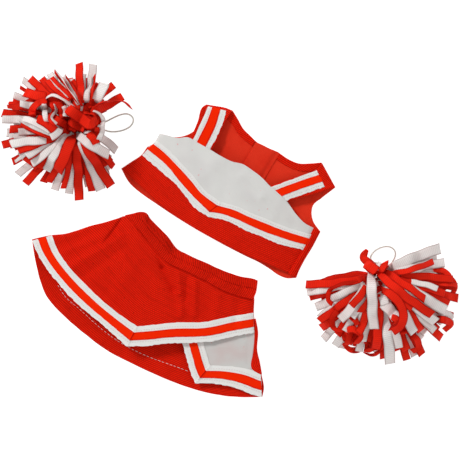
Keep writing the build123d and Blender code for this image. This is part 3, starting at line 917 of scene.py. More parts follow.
INSET_OUT_RIGHT = [
    (54.8, -44.2), (59.4, -41.7), (68.5, -37.3), (79.6, -33.8), (91.5, -31.8), (99.7, -31), (105.6, -29.4)
]
INSET_IN_LEFT = [(44.8, -12.4), (51, -18.9), (58.5, -26.4)]
INSET_IN_RIGHT = [(58.5, -26.4), (72.2, -19.8), (88.8, -14.6), (96.6, -14.2)]
WAIST_SEAM = [
    (-38.8, 40.4), (-27.7, 35.6), (-16.8, 31.3), (-6.5, 28.4), (-1.1, 28.9), (11.4, 29.7), (25.5, 30.1), (40, 29.9),
    (53.3, 31.9), (64.1, 34.5)
]
WAIST_TOP = [
    (-55.4, 44.5), (-49.6, 49.8), (-45.7, 53.3), (-40.6, 54.5), (-36.6, 52.4), (-24.6, 48.7), (-15.7, 45.5),
    (-7.9, 41.7), (5.1, 41.5)
]
WAIST_TOP += [(19, 42.4), (32.9, 43.3), (46.2, 45.4), (57.3, 48.7), (60.2, 49)]
LEFT_FOLD = [
    (-110.2, -5.4), (-101.3, 2.4), (-97.7, 5.1), (-89.2, 10.8), (-82.5, 17.2), (-74.2, 25.9), (-65.3, 33.5),
    (-58.4, 39.3)
]
RIGHT_FOLD = [(76.8, 12.2), (73.6, 17.4), (68.8, 25.8), (64.7, 35.5)]
RIGHT_SIDE = [
    (105.9, -29.2), (104, -23), (97, -13.8), (91.7, -6.6), (85.3, 0.6), (78.1, 14.9), (71.1, 22.7), (66.5, 33)
]

SKIRT_FOLDS = [
    ((-20, 33), (-10, 23), 2.0, -2.6),
    ((-10, 23), (5, 12), 2.4, -2.3),
    ((5, 12), (16, 6), 3.2, -1.1),
    ((3, 26), (11, 12), 2.2, 1.8),
    ((11, 12), (20, -2), 2.6, 2.0),
    ((16, 28), (29, 3), 2.6, 1.9),
    ((10, 26), (18, 10), 1.6, -1.4),
    ((38, 26), (44, 8), 4.0, 1.1),
    ((-72, -8), (-51, 28), 3.4, 2.0),
    ((-62, -12), (-42, 24), 3.6, -1.4),
    ((-84, -2), (-62, 24), 3.0, 1.3),
    ((-92, -4), (-74, 18), 4.0, -1.0),
    ((-34, -18), (-30, 20), 5.0, 1.0),
    ((54, 30), (60, 12), 3.4, -1.0),
]


def level(points):
    """A height over x through the points, as a function."""
    line = smooth(points, 400)
    return lambda x: np.interp(x, line[:, 0], line[:, 1])


waist_level = level([(-115, 64), (-85, 56), (-50.3, 45.6), *WAIST_SEAM[1:9], (64.1, 34.5), (85, 38), (110, 42)])
hem_level = level(
    [
        (-118, 4), (-110.2, -5.4), (-100.4, -18.2), (-91, -29), (-80, -38.6), (-55.4, -47.4), (-17.2, -54.2),
        (26.5, -52.7), (72.5, -44.8), (105.9, -29.2), (112, -26)
    ]
)


def course(flat, length=82.0):
    """UV whose V runs from the hem to the waist, so that ribs lie along them."""
    x, y = xy(flat)
    low, high = hem_level(x), waist_level(x)
    return np.stack([x, (y - low) / (high - low) * length], -1)


def overlay_height(x, y, side):
    """Middle of the overlay: its arch and folds, sunk along the waist seam, rounded down to the back at the sides."""
    below = waist_level(x) - y
    folds = creases(x, y, SKIRT_FOLDS) + step_fold(x, y, (-57, 42), (-60, 20), 0.9, 2.6, 5.0)
    full = skirt_arch(x, y) + 0.4 + folds * np.clip(below / 5, 0, 1)
    dip = 1.3 * np.clip((x + 51) / 6, 0.2, 1)
    full = full - dip * np.exp(-((below / 0.9) ** 2)) + 1.0 * np.clip(-below / 1.5, 0, 1)
    return SKIRT_SIDE + (full - SKIRT_SIDE) * rounded(side, 4.0)


def build_skirt_back(materials, sizes):
    """The back panel, the braid under its hem, and the stitches that hold it."""
    knit, tape, ribbon = sizes.knit / MM, sizes.tape / MM, sizes.ribbon / MM
    waist = Edge([(-58.4, 39.3), (-38, 44), (-6, 34), (30, 35), (64.6, 35.4)])
    flat = SKIRT.grid(SKIRT_HEM, waist, Edge(LEFT_FOLD), Edge([*RIGHT_SIDE[:-1], (64.6, 35.4)]), (1.0, 0.9))
    x, y = xy(flat)

    def swell_at(x, y):
        return creases(
            x, y, [((-62, -44), (-66, -30), 4, 0.5), ((0, -52), (6, -40), 5, 0.5), ((30, -50), (26, -40), 4, 0.4)]
        )

    swell = swell_at(x, y)
    sheet_of(
        "skirt_back_knit", SKIRT, flat, 1.4 + swell, knit, materials["red_knit"], course(flat), ("skirt_back_panel",),
        "red_knit", cut=(0.216, 0.094)
    )

    stitched = [
        (-95, -10), (-85, -19.5), (-76, -27.0), (-66.5, -32.2), (-50.6, -36.0), (-30.6, -41.0), (-11.8, -43.8),
        (10.4, -43.4), (35.5, -40)
    ]
    stitched += [(47.7, -38.4), (66, -33), (84, -25), (97, -15)]
    low = SKIRT_HEM.toward(Edge(stitched), 0.05)
    for name, a, b, z, thickness, node, slot in (
        ("skirt_hem_tape", 0.0, 1.0, 0.70, tape, "skirt_back_hem_tape", "white_tape"),
        ("skirt_hem_ribbon", 0.28, 0.70, 0.20, ribbon, "skirt_back_hem_ribbon", "red_ribbon"),
    ):
        under, over = low.toward(Edge(stitched), a), low.toward(Edge(stitched), b)
        flat = SKIRT.span(under, over, (1.2, 1.0))
        sheet_of(name, SKIRT, flat, z, thickness, materials[slot], cloth_uv(flat, True), (node,), slot)
    line = Edge(stitched[2:10])
    thread = [dashes(SKIRT, line(np.linspace(0, 1, 600)), lambda x, y: 1.92 + swell_at(x, y), 2.3, 0.9, 0.2, 7)]
    tail = on_table(
        np.array(
            [(-64, -31.2, 1.9), (-63.2, -29.6, 2.6), (-61.4, -28.6, 2.9), (-59.6, -29.2, 2.4), (-58.6, -30.8, 2.0)]
        ),
        SKIRT_AT, SKIRT_TURN
    )
    thread.append(tube(smooth(tail, 24), 0.14, 6))
    piece("skirt_hem_stitches", thread, materials["white_thread"], "skirt")


def build_skirt_front(materials, sizes):
    """The overlay with its pointed hem, the white side inset, and the red wrap beside it."""
    knit = sizes.knit / MM
    low = Edge(OVER_LOW_LEFT, OVER_LOW_RIGHT).toward(Edge(OVER_UP_LEFT, OVER_UP_RIGHT), 0.05)
    high = Edge(
        [
            (-58.4, 39.9), (-56.6, 43.4), (-54.2, 46.0), (-50, 47), (-45, 45.6), (-38.8, 42.6), (-27.7, 37.8),
            (-16.8, 33.5), (-6.5, 30.6), (11.4, 31.9), (40, 32.1), (63.6, 36.2)
        ]
    )
    left, right = Edge(LEFT_FOLD), Edge([*RIGHT_FOLD[:-1], (63.6, 36.2)])
    low = Edge([LEFT_FOLD[0], *low(np.linspace(0.02, 1, 90))][:-1] + [RIGHT_FOLD[0]])
    flat = SKIRT.grid(low, high, left, right, (0.9, 0.8))
    x, y = xy(flat)
    sheet_of(
        "skirt_overlay_knit", SKIRT, flat, overlay_height(x, y, side_distance(flat)), knit, materials["red_knit"],
        course(flat), ("skirt_front_overlay",), "red_knit", cut=(0.190, 0.088)
    )

    low, high = Edge([(55, -43.4), *INSET_OUT_RIGHT[1:-1], (104.6, -29.6)]), Edge(
        [(28.5, -19), *OVER_UP_RIGHT[2:4], (60, 12), (78, 14)]
    )
    left, right = straight((55, -43.4), (28.5, -19)), Edge(
        [(104.6, -29.6), (96, -15.2), (88.2, -13.8)], [(88.2, -13.8), (83, -1), (78, 14)]
    )
    flat = SKIRT.grid(low, high, left, right, (0.8, 0.8))
    x, y = xy(flat)
    height = inset_arch(x, y) + 0.42 + creases(x, y, [((60, -8), (80, -6), 3, 0.3), ((74, 8), (84, -12), 2, -0.3)])
    sheet_of(
        "skirt_inset_cloth", SKIRT, flat, height, knit, materials["inset_cloth"], None, ("skirt_side_inset",),
        "white_cloth", cut=(0.062, 0.050)
    )

    inner = Edge([(96.6, -14.4), (88.4, -13.6), (83, -1), (77.6, 11), (72, 21)])
    outer = Edge([(97.2, -14), (91.7, -6.6), (85.3, 0.6), (78.6, 14.4), (72.4, 22.2)])
    flat = SKIRT.span(inner, outer, (0.8, 0.5))
    across, wide = lengths(flat, 1)
    height = 2.0 + 1.5 * rounded(wide - across, 3.0)
    sheet_of(
        "skirt_wrap_knit", SKIRT, flat, height, knit, materials["red_knit"], cloth_uv(flat), ("skirt_side_wrap",),
        "red_knit"
    )

    for name, line, wide, z, node in (
        (
            "skirt_left_allowance", Edge([(-108.4, -5.6), *[(x + 1.2, y - 0.8) for x, y in LEFT_FOLD[1:]]]), 3.0, 2.1,
            "skirt_left_side_seam"
        ),
        (
            "skirt_right_allowance", Edge([(76, 12), (73, 17.4), (68, 25.8), (64.2, 34)]), -3.0, 2.1,
            "skirt_right_side_seam"
        ),
        (
            "skirt_wrap_allowance", Edge([(104, -27.5), (96, -14.2), (90.8, -7), (84.4, 0)]), -2.6, 2.0,
            "skirt_wrap_fold_seam"
        ),
    ):
        other = Edge(line(np.linspace(0, 1, 30)) + np.array([wide * 0.8, -abs(wide) * 0.5]))
        flat = SKIRT.span(line, other, (1.2, 0.6))
        sheet_of(name, SKIRT, flat, z, 0.5, materials["red_knit"], None, (node,), "red_knit")


def build_skirt_braid(materials, sizes):
    """The braid along the overlay's pointed hem and round the side inset, folded to a mitre at each point."""

    def overlay(x, y):
        left, right = Edge(LEFT_FOLD).line[::12], Edge(RIGHT_FOLD).line[::12]
        line = np.concatenate([left, right])
        gap = np.min(np.hypot(x[..., None] - line[:, 0], y[..., None] - line[:, 1]), axis=-1)
        return overlay_height(x, y, gap + 0.05) + ridge(x, y, (-5.8, -43.6), (-5.7, -26), 0.9, 0.4)

    def inset(x, y):
        return inset_arch(x, y) + 0.42 + ridge(x, y, (54.8, -44.2), (58.5, -26.4), 0.9, 0.4)

    for name, side, low, high, height, seeds in (
        ("skirt_overlay", "left", OVER_LOW_LEFT, OVER_UP_LEFT, overlay, (61, 63)),
        ("skirt_overlay", "right", OVER_LOW_RIGHT, OVER_UP_RIGHT, overlay, (65, 67)),
        ("skirt_inset", "left", INSET_OUT_LEFT, INSET_IN_LEFT, inset, (71, 73)),
        ("skirt_inset", "right", INSET_OUT_RIGHT, INSET_IN_RIGHT, inset, (75, 77)),
    ):
        a, b = Edge(low), Edge(high)
        inner = [a.toward(b, share).line[::10] for share in (0.30, 0.70)]
        nodes = {label: f"{name}_{label}_{side}" for label in ("tape", "ribbon")}
        braid_arm(f"{name}_braid_{side}", SKIRT, (low, *inner, high), height, materials, sizes, nodes, seeds)
        if side == "right":
            mitre(name, SKIRT, inner[0][0], inner[1][0], height, materials)


def build_waistband(materials, sizes):
    """The gathered casing of the waist, front and back, and the elastic inside it."""
    low = Edge([(-54.6, 45.2), (-50.3, 44.9), *WAIST_SEAM], waver=0.12, period=5, seed=81)
    high = Edge([(-54.2, 46.0), *WAIST_TOP[1:]], waver=0.12, period=5, seed=82)
    ends = straight((-54.6, 45.2), (-54.2, 46.0)), straight((64.1, 34.5), (62.8, 42), (60.2, 49))
    flat = SKIRT.grid(low, high, *ends, (0.5, 0.45))
    x, y = xy(flat)
    along, _ = lengths(flat, 0)
    across, wide = lengths(flat, 1)
    t = across / wide
    gathers = 0.16 * np.cos(2 * np.pi * along / 1.45 + 1.2 * np.sin(along / 9)) * np.sin(np.pi * t) ** 0.5
    puff = 1.0 * np.sqrt(np.clip(1 - (2 * t - 1) ** 2, 0, 1)) - 0.75 * np.exp(-(((t - 0.52) * wide / 0.7) ** 2))
    end = np.clip(np.minimum(along, along.max() - along) / 5, 0, 1)
    arch = skirt_arch(x, y)
    lie = 3.0 + (arch - 3.0 + 1.2) * rounded(end * 5, 5.0)
    front = SKIRT.lay(flat, lie + puff * np.clip(wide / 8, 0.2, 1) + gathers + wobble(along, 0.2, 6, 83))
    uv = np.stack([across, along], -1)
    flat_back = SKIRT.grid(low, high, *ends, (1.2, 1.2))
    behind = SKIRT.lay(flat_back, 1.25)
    uv_back = cloth_uv(flat_back)[..., ::-1]
    piece(
        "skirt_waistband_knit", [thick(front, 1.5, uv), thick(behind, 2.0, uv_back)], materials["waist_knit"],
        "skirt", ("skirt_waistband",), "waistband_knit"
    )
    low = Edge([(-38, 44), (-26, 39.8), (-6, 32.4), (20, 33.6), (58, 36.4)])
    high = Edge([(-37, 49), (-24, 45.4), (-6, 38.4), (20, 39.4), (56.5, 44.5)])
    flat = SKIRT.span(low, high, (1.2, 1.0))
    sheet_of(
        "skirt_waist_elastic_band", SKIRT, flat, 1.3, 0.9, materials["elastic"], cloth_uv(flat),
        ("skirt_waist_elastic",), "waist_elastic"
    )


# ------------------------------------------------------------------ threads
def tube(path, radius, sides=8, closed=False):
    """A round thread along a path of points in mm, closed at its ends. Its rings stand square to the path."""
    path = np.asarray(path, float)
    radius = np.broadcast_to(radius, len(path)).astype(float)
    along = unit(np.roll(path, -1, 0) - np.roll(path, 1, 0) if closed else np.gradient(path, axis=0))
    up = np.where(np.abs(along[:, 2:3]) < 0.9, np.array([[0.0, 0, 1]]), np.array([[1.0, 0, 0]]))
    side = unit(np.cross(up, along))
    top = np.cross(along, side)
    if not closed:
        first, last = path[0] - along[0] * radius[0] * 0.7, path[-1] + along[-1] * radius[-1] * 0.7
        path = np.concatenate([first[None], path[:1], path, path[-1:], last[None]])
        radius = np.concatenate(
            [radius[:1] * 0.15, radius[:1] * 0.85, radius, radius[-1:] * 0.85, radius[-1:] * 0.15]
        )
        side = np.concatenate([side[:1], side[:1], side, side[-1:], side[-1:]])
        top = np.concatenate([top[:1], top[:1], top, top[-1:], top[-1:]])
    a = np.linspace(0, 2 * np.pi, sides, endpoint=False)
    rings = path[:, None] + radius[:, None, None] * (
        np.cos(a)[None, :, None] * side[:, None] + np.sin(a)[None, :, None] * top[:, None]
    )
    n = len(path)
    i, j = np.arange(n if closed else n - 1)[:, None], np.arange(sides)[None]
    k, m = (i + 1) % n, (j + 1) % sides
    faces = np.stack(np.broadcast_arrays(i * sides + j, i * sides + m, k * sides + m, k * sides + j), -1).reshape(
        -1, 4
    )
    if not closed:
        ends = np.arange(0, sides - 2, 2)
        low = np.stack([0 * ends, ends + 3, ends + 2, ends + 1], -1) % sides
        faces = np.concatenate([faces, low, (n - 1) * sides + low[:, ::-1]])
    s = run(path)
    uv = np.stack(np.broadcast_arrays(s[:, None], (a * radius.max())[None]), -1).reshape(-1, 2)
    return rings.reshape(-1, 3), faces, uv


def dashes(garment, line, height, dash, gap, radius, seed, sides=4, rings=3):
    """A row of short stitches along a line: each one dips into the cloth at both ends."""
    s = run(line)
    random = np.random.default_rng(seed)
    starts = np.arange(0.3, s[-1] - dash, dash + gap)
    starts = starts + random.uniform(-0.15, 0.15, len(starts))
    t = np.linspace(0, 1, rings + 2)
    at = starts[:, None] + t[None] * dash * random.uniform(0.8, 1.05, (len(starts), 1))
    x, y = np.interp(at, s, line[:, 0]), np.interp(at, s, line[:, 1])
    z = height(x, y) + radius * 0.9 * np.sin(np.pi * t) - radius * 0.6
    centre = on_table(np.stack([x, y, z], -1), garment.at, garment.turn)
    along = unit(np.gradient(centre, axis=1))
    side = unit(np.cross(np.array([0.0, 0, 1]), along))
    top = np.cross(along, side)
    a = np.linspace(0, 2 * np.pi, sides, endpoint=False)
    size = radius * np.array([0.5, *[1.0] * rings, 0.5])
    ring = centre[:, :, None] + size[None, :, None, None] * (
        np.cos(a)[None, None, :, None] * side[:, :, None] + np.sin(a)[None, None, :, None] * top[:, :, None]
    )
    count, rows = ring.shape[:2]
    i, j = np.arange(rows - 1)[:, None], np.arange(sides)[None]
    m = (j + 1) % sides
    one = np.stack(
        np.broadcast_arrays(i * sides + j, i * sides + m, (i + 1) * sides + m, (i + 1) * sides + j), -1
    ).reshape(-1, 4)
    ends = np.array([[3, 2, 1, 0], [(rows - 1) * sides + q for q in (0, 1, 2, 3)]])
    one = np.concatenate([one, ends])
    faces = (one[None] + (np.arange(count) * rows * sides)[:, None, None]).reshape(-1, 4)
    uv = np.stack(np.broadcast_arrays(at[:, :, None], a[None, None] * radius), -1).reshape(-1, 2)
    return ring.reshape(-1, 3), faces, uv


# ------------------------------------------------------------------ the pompoms
STRIP_WIDTH = 6.6  # the width, in mm, that the strips' tables and pattern are drawn for
STRIP_THICK = 0.4
CORE = (4.2, 25.0)  # radius and height of the roll in the middle
SINK = 0.60  # share of their drawn heights from which the strips are laid on one another
MAP_SPOTS = 240  # places along each side of the map of heights
FINE = 3  # rows and columns laid for each one of a strip
BARE_ROWS = 18  # fine rows at a strip's root that nothing rests on
SPREAD = 5  # rows over which a rise is spread, each way


# One strip a row: red or white, start, tip, sideways bow of its middle, heights of start, middle and tip,
# width, and roll at its start and tip in degrees; all else in mm from the pompom's middle.
LEFT_STRIPS = [
    ("r", (4, 10), (0, 47), 1, (20, 14, 3), 6.2, (5, 10)),
    ("w", (7, 11), (11, 46), -1, (21, 17, 5), 6.6, (0, -15)),
    ("r", (9, 9), (12, 37), -2, (24, 22, 12), 5.5, (60, 65)),
    ("w", (14, 14), (20, 31), -1, (22, 20, 15), 8.4, (0, 12)),
    ("r", (11, 14), (15, 31), 1, (20, 20, 17), 5.0, (20, 40)),
    ("r", (16, 8), (34, 21), 1, (18, 16, 9), 7.0, (-10, 14)),
    ("r", (4, 9), (-19, 40), -2, (27, 24, 12), 5.5, (70, 60)),
    ("w", (3, 9), (-12, 36), -2, (23, 20, 10), 5.5, (50, 30)),
    ("w", (4, 10), (-18, 41), -1, (28, 27, 14), 5.0, (84, 82)),
    ("w", (-4, 16), (-24, 36), 1, (25, 25, 12), 4.6, (84, 82)),
    ("w", (9, 12), (10, 37), 1, (25, 23, 12), 4.6, (84, 80)),
    ("r", (5, 9), (-10, 36), -3, (26, 25, 12), 5.0, (70, 70)),
    ("r", (-2, 14), (-23, 34), 1, (22, 21, 10), 8.6, (-8, -14)),
    ("r", (-19, 21), (-38, 35), 2, (16, 14, 5), 6.2, (-10, 10)),
    ("r", (-25, 26), (-29, 35), 0, (12, 11, 8), 6.2, (14, 20)),
    ("w", (-8, 20), (-23, 39), -1, (16, 12, 3), 5.6, (30, 20)),
    ("r", (-22, 20), (-42, 24), 2, (22, 20, 9), 8.0, (-10, -16)),
    ("w", (-33, 26), (-44, 34), 1, (9, 8, 3), 5.6, (20, 20)),
    ("w", (-42, 19), (-51, 22), 1, (9, 8, 3), 5.6, (0, 12)),
    ("r", (-39, 22), (-46, 28), 1, (12, 12, 8), 5.0, (60, 60)),
    ("w", (-29, 12), (-45, 15), 1, (20, 18, 10), 5.8, (10, 20)),
    ("r", (-32, 19), (-53, 12), 4, (20, 18, 6), 6.4, (20, 40)),
    ("r", (-36, 9), (-56, 13), -2, (19, 16, 7), 5.6, (60, 66)),
    ("r", (-46, 6), (-60, 8), 0, (12, 9, 3), 6.8, (0, 8)),
    ("w", (-37, 2), (-60, 3), -1, (17, 14, 5), 6.4, (-8, 10)),
    ("r", (-46, -4), (-54, -5), 1, (12, 11, 8), 6.4, (10, 20)),
    ("w", (-15, -11), (-47, 4), 3, (24, 22, 8), 5.6, (46, 50)),
    ("r", (-15, -12), (-45, 0), 4, (22, 20, 8), 5.6, (40, 40)),
    ("w", (-31, -9), (-47, -7), 2, (19, 17, 8), 6.4, (10, 24)),
    ("r", (-52, -10), (-60, -17), 1, (7, 5, 2), 6.4, (0, 10)),
    ("w", (-19, -14), (-53, -17), -2, (22, 19, 5), 6.8, (-10, 8)),
    ("r", (-22, -18), (-47, -21), 2, (20, 17, 6), 8.4, (-6, 10)),
    ("w", (-5, -7), (-36, -32), 2, (29, 24, 7), 6.0, (-16, -10)),
    ("r", (-6, -8), (-31, -35), 3, (26, 22, 8), 5.6, (-30, 20)),
    ("w", (-4, -8), (-25, -37), -2, (33, 28, 12), 7.0, (0, -12)),
    ("r", (-3, -8), (-16, -38), 2, (32, 29, 13), 9.2, (10, -8)),
    ("r", (-35, -28), (-52, -30), 1, (8, 7, 3), 6.2, (10, 10)),
    ("w", (-36, -26), (-50, -30), 1, (11, 10, 5), 4.0, (50, 50)),
    ("w", (-40, -34), (-48, -40), 1, (6, 5, 2), 6.2, (0, 10)),
    ("r", (-34, -38), (-42, -47), 1, (7, 6, 2), 6.4, (10, 0)),
    ("r", (-20, -37), (-28, -46), 1, (11, 9, 5), 6.2, (0, 20)),
    ("r", (-3, -21), (-12, -51), 2, (20, 15, 3), 4.6, (30, 20)),
    ("w", (-4, -27), (-8, -55), 1, (18, 12, 3), 6.4, (0, 10)),
    ("r", (0, -23), (0, -60), -1, (22, 15, 3), 7.2, (8, -8)),
    ("r", (1, -24), (10, -53), 1, (19, 13, 4), 5.8, (20, 10)),
    ("w", (2, -23), (17, -52), 1, (22, 15, 4), 8.0, (-6, 10)),
    ("r", (4, -21), (25, -49), -2, (24, 17, 4), 7.6, (10, -10)),
    ("w", (-2, -8), (24, -25), -2, (30, 24, 10), 7.6, (-10, 10)),
    ("r", (19, -28), (27, -34), 1, (10, 9, 5), 5.6, (10, 20)),
    ("w", (15, -26), (24, -36), 2, (8, 7, 4), 4.0, (30, 40)),
    ("r", (7, -8), (15, -17), 2, (26, 25, 18), 6.4, (-10, 20)),
    ("w", (-9, 14), (-7, 4), 2, (33, 35, 33), 6.0, (10, -20)),
    ("r", (-19, 4), (-1, -5), -2, (28, 33, 33), 6.4, (16, -8)),
    ("w", (-12, -4), (-20, -12), 3, (30, 31, 24), 5.8, (40, 10)),
    ("r", (12, 20), (27, 30), 2, (14, 11, 5), 6.2, (20, 10)),
    ("w", (-27, -16), (-40, -26), 3, (19, 16, 9), 6.4, (20, 10)),
    ("r", (-8, -20), (-24, -46), 2, (18, 13, 4), 6.4, (-10, 10)),
    ("w", (-12, -28), (-19, -52), 1, (13, 9, 3), 6.2, (10, 0)),
]
RIGHT_STRIPS = [
    ("r", (-7, -2), (-55, -8), 2, (24, 20, 3), 6.6, (-10, 8)),
    ("w", (-20, -9), (-54, -14), 1, (20, 15, 3), 6.4, (10, -8)),
    ("r", (-36, -13), (-52, -18), 1, (12, 9, 3), 6.2, (0, 12)),
    ("w", (-30, -16), (-47, -26), 2, (14, 11, 3), 7.0, (6, 12)),
    ("w", (-30, -22), (-44, -34), -2, (15, 12, 3), 7.4, (0, 8)),
    ("r", (-28, -28), (-43, -42), 2, (12, 9, 3), 6.6, (0, 10)),
    ("w", (-22, -38), (-32, -56), 2, (10, 8, 2), 7.0, (0, 10)),
    ("w", (-24, -10), (-37, -19), 3, (20, 17, 8), 6.2, (14, 20)),
    ("w", (-8, -4), (-29, -35), 3, (30, 24, 9), 7.2, (0, -10)),
    ("r", (-8, -6), (-21, -24), 2, (31, 28, 18), 6.2, (30, 12)),
    ("w", (-9, -14), (-20, -33), 1, (26, 22, 12), 5.6, (30, 10)),
    ("r", (-26, -20), (-45, -36), 3, (16, 12, 3), 6.4, (-10, 10)),
    ("w", (-32, -33), (-41, -51), 2, (11, 8, 3), 6.4, (12, 8)),
    ("r", (-30, -27), (-31, -47), 2, (15, 11, 4), 6.4, (20, -8)),
    ("w", (-24, -34), (-17, -44), 2, (16, 15, 12), 6.2, (10, 30)),
    ("r", (-24, -32), (-16, -39), 4, (19, 18, 15), 6.0, (50, 30)),
    ("r", (-8, -24), (-15, -45), 2, (22, 18, 9), 6.4, (24, -10)),
    ("r", (-19, -42), (-24, -55), -3, (11, 9, 4), 6.2, (10, 40)),
    ("r", (-14, -45), (-18, -53), 3, (12, 11, 7), 6.0, (40, 50)),
    ("w", (-33, -49), (-27, -58), 1, (6, 6, 2), 6.2, (10, 10)),
    ("w", (-5, 3), (-3, -42), -2, (37, 36, 14), 8.0, (0, 8)),
    ("r", (-6, -39), (-7, -52), 1, (14, 12, 6), 6.4, (20, -10)),
    ("r", (-3, -51), (-8, -61), 3, (10, 8, 3), 6.2, (14, 40)),
    ("r", (2, -31), (-1, -58), 2, (21, 16, 6), 7.6, (-8, 10)),
    ("w", (-5, -43), (-11, -52), 1, (13, 12, 9), 5.4, (10, 24)),
    ("w", (1, -12), (5, -23), 1, (33, 33, 28), 7.0, (20, -10)),
    ("r", (6, -20), (13, -40), 1, (26, 24, 18), 6.4, (30, 30)),
    ("w", (8, -44), (11, -70), 1, (17, 12, 3), 8.4, (-10, 8)),
    ("w", (18, -42), (17, -57), 1, (15, 13, 7), 6.4, (20, 10)),
    ("r", (24, -45), (19, -58), 2, (14, 12, 6), 6.4, (0, 20)),
    ("w", (18, -22), (28, -45), -2, (27, 22, 8), 7.4, (24, 8)),
    ("r", (14, -12), (34, -44), -2, (24, 19, 8), 7.0, (10, 8)),
    ("r", (-2, 4), (42, -31), -4, (39, 37, 13), 7.0, (10, -14)),
    ("w", (21, -21), (42, -40), -2, (24, 19, 6), 6.4, (24, 10)),
    ("w", (8, -3), (48, -27), -2, (32, 26, 9), 5.8, (30, 20)),
    ("w", (45, -26), (52, -38), 2, (10, 8, 3), 6.2, (10, 0)),
    ("r", (3, 4), (36, -19), 1, (35, 30, 13), 6.4, (16, 30)),
    ("r", (30, -10), (56, -23), 2, (19, 15, 4), 6.4, (-12, 8)),
    ("w", (22, -5), (46, -11), 2, (24, 19, 8), 5.0, (30, 20)),
    ("r", (20, -6), (52, -15), 2, (22, 17, 6), 6.6, (10, 10)),
    ("r", (33, -10), (64, -19), -2, (17, 12, 3), 6.8, (6, -8)),
    ("r", (20, -1), (59, -4), 2, (22, 17, 4), 6.4, (-8, 20)),
    ("r", (44, -8), (63, -9), 3, (14, 12, 5), 6.2, (20, 50)),
    ("r", (49, -13), (62, -11), -3, (13, 12, 6), 5.6, (50, 50)),
    ("r", (26, -32), (51, -50), -2, (15, 11, 3), 6.6, (12, -8)),
    ("r", (42, -41), (60, -33), -3, (10, 9, 4), 6.2, (30, 20)),
    ("w", (48, -37), (59, -39), 1, (8, 6, 3), 6.2, (10, 10)),
    ("r", (29, -46), (36, -63), 2, (10, 8, 3), 6.4, (14, 0)),
    ("w", (19, -54), (30, -64), 2, (9, 7, 3), 6.2, (0, 20)),
    ("w", (6, 3), (50, 20), 2, (27, 18, 4), 8.6, (4, -6)),
    ("w", (7, 2), (47, 13), 1, (24, 15, 3), 7.0, (-6, 4)),
    ("w", (9, 1), (53, 9), 1, (27, 20, 4), 7.0, (-10, 10)),
    ("r", (7, 0), (44, 10), -2, (30, 24, 7), 5.0, (30, 14)),
    ("r", (-4, 1), (-8, 8), 1, (26, 24, 18), 5.4, (40, 40)),
    ("w", (1, 2), (4, 9), 1, (27, 26, 20), 6.2, (10, 20)),
    ("r", (2, 1), (7, 8), 1, (29, 27, 20), 5.8, (30, 40)),
    ("r", (-4, -9), (-14, -29), 2, (33, 30, 18), 6.4, (50, 40)),
    ("r", (-17, -16), (-27, -31), 3, (24, 21, 12), 6.4, (16, 0)),
    ("w", (-18, -22), (-25, -44), 2, (20, 15, 6), 6.4, (10, 20)),
    ("r", (14, -8), (26, -26), -4, (32, 29, 18), 6.6, (40, 20)),
    ("r", (19, -28), (20, -46), 3, (22, 20, 11), 6.4, (10, 30)),
    ("w", (33, -25), (45, -44), -2, (16, 12, 4), 6.2, (10, 0)),
    ("r", (36, -30), (48, -44), 2, (14, 10, 3), 6.2, (30, 0)),
    ("r", (1, -37), (6, -66), 1, (13, 9, 3), 6.4, (10, 0)),
    ("w", (-12, -36), (-14, -60), 1, (11, 8, 3), 6.2, (0, 10)),
    ("r", (13, -47), (24, -67), 1, (11, 8, 3), 6.2, (10, 0)),
]


# Strips that curl: red or white, the points of the middle line, width, and roll at start and tip
LEFT_CURLS = [
    ("r", [(6, 8, 26), (20, 15, 27), (33, 17, 18), (41, 12, 8)], 5.4, (66, 76)),
    ("r", [(-44, 1, 10), (-32, -6, 19), (-17, -12, 25)], 6.0, (10, -10)),
    ("w", [(-46, 4, 12), (-36, 1, 18), (-26, -4, 22), (-18, -9, 25)], 5.4, (-10, 30)),
    ("r", [(-55, 16, 6), (-46, 14, 12), (-38, 13, 16), (-35, 16, 18)], 5.4, (30, 60)),
    ("w", [(19, 0, 22), (18, -7, 18), (14, -17, 9)], 6.4, (20, -8)),
    ("r", [(16, -2, 24), (15, -9, 20), (13, -16, 13)], 5.4, (50, 20)),
    ("w", [(7, 8, 34), (14, 8, 33), (19, 4, 30), (20, -4, 25), (17, -14, 16)], 5.0, (70, 40)),
    ("r", [(-33, 4, 24), (-22, -2, 29), (-15, -9, 30)], 7.4, (8, -12)),
    ("w", [(-36, 5, 22), (-36, 10, 24), (-32, 15, 25)], 4.0, (60, 60)),
    ("r", [(-34, 3, 24), (-35, 9, 28), (-30, 15, 31), (-24, 17, 32)], 7.0, (10, 50)),
    ("r", [(-15, 17, 32), (-12, 11, 34), (-11, 3, 33)], 7.0, (40, 60)),
    ("w", [(-26, 16, 34), (-25, 8, 36), (-23, 0, 34)], 4.8, (10, 40)),
    ("r", [(-21, 17, 35), (-18, 9, 37), (-20, 2, 36), (-16, -3, 34)], 5.4, (30, 50)),
    ("w", [(-19, 16, 36), (-16, 9, 38), (-19, 3, 38), (-15, -2, 36)], 4.6, (72, 66)),
    ("w", [(-11, 13, 35), (-9, 9, 37), (-9, 4, 36)], 4.0, (20, 40)),
    ("w", [(-27, 17, 31), (-20, 21, 34), (-12, 18, 37), (-5, 13, 38), (0, 8, 37)], 5.0, (66, 60)),
    ("r", [(-8, 2, 30), (-2, -2, 38), (6, -5, 34)], 7.0, (0, 10)),
    ("r", [(-9, 12, 44), (-3, 7, 54), (4, 2, 56), (10, -2, 50), (14, 0, 44)], 9.0, (12, -30)),
    ("r", [(2, 8, 41), (9, 7, 43), (14, 5, 43), (14, 0, 42), (10, -4, 41)], 5.6, (50, 76)),
    ("w", [(3, -6, 36), (7, -8, 36), (10, -7, 34)], 3.6, (50, 60)),
]
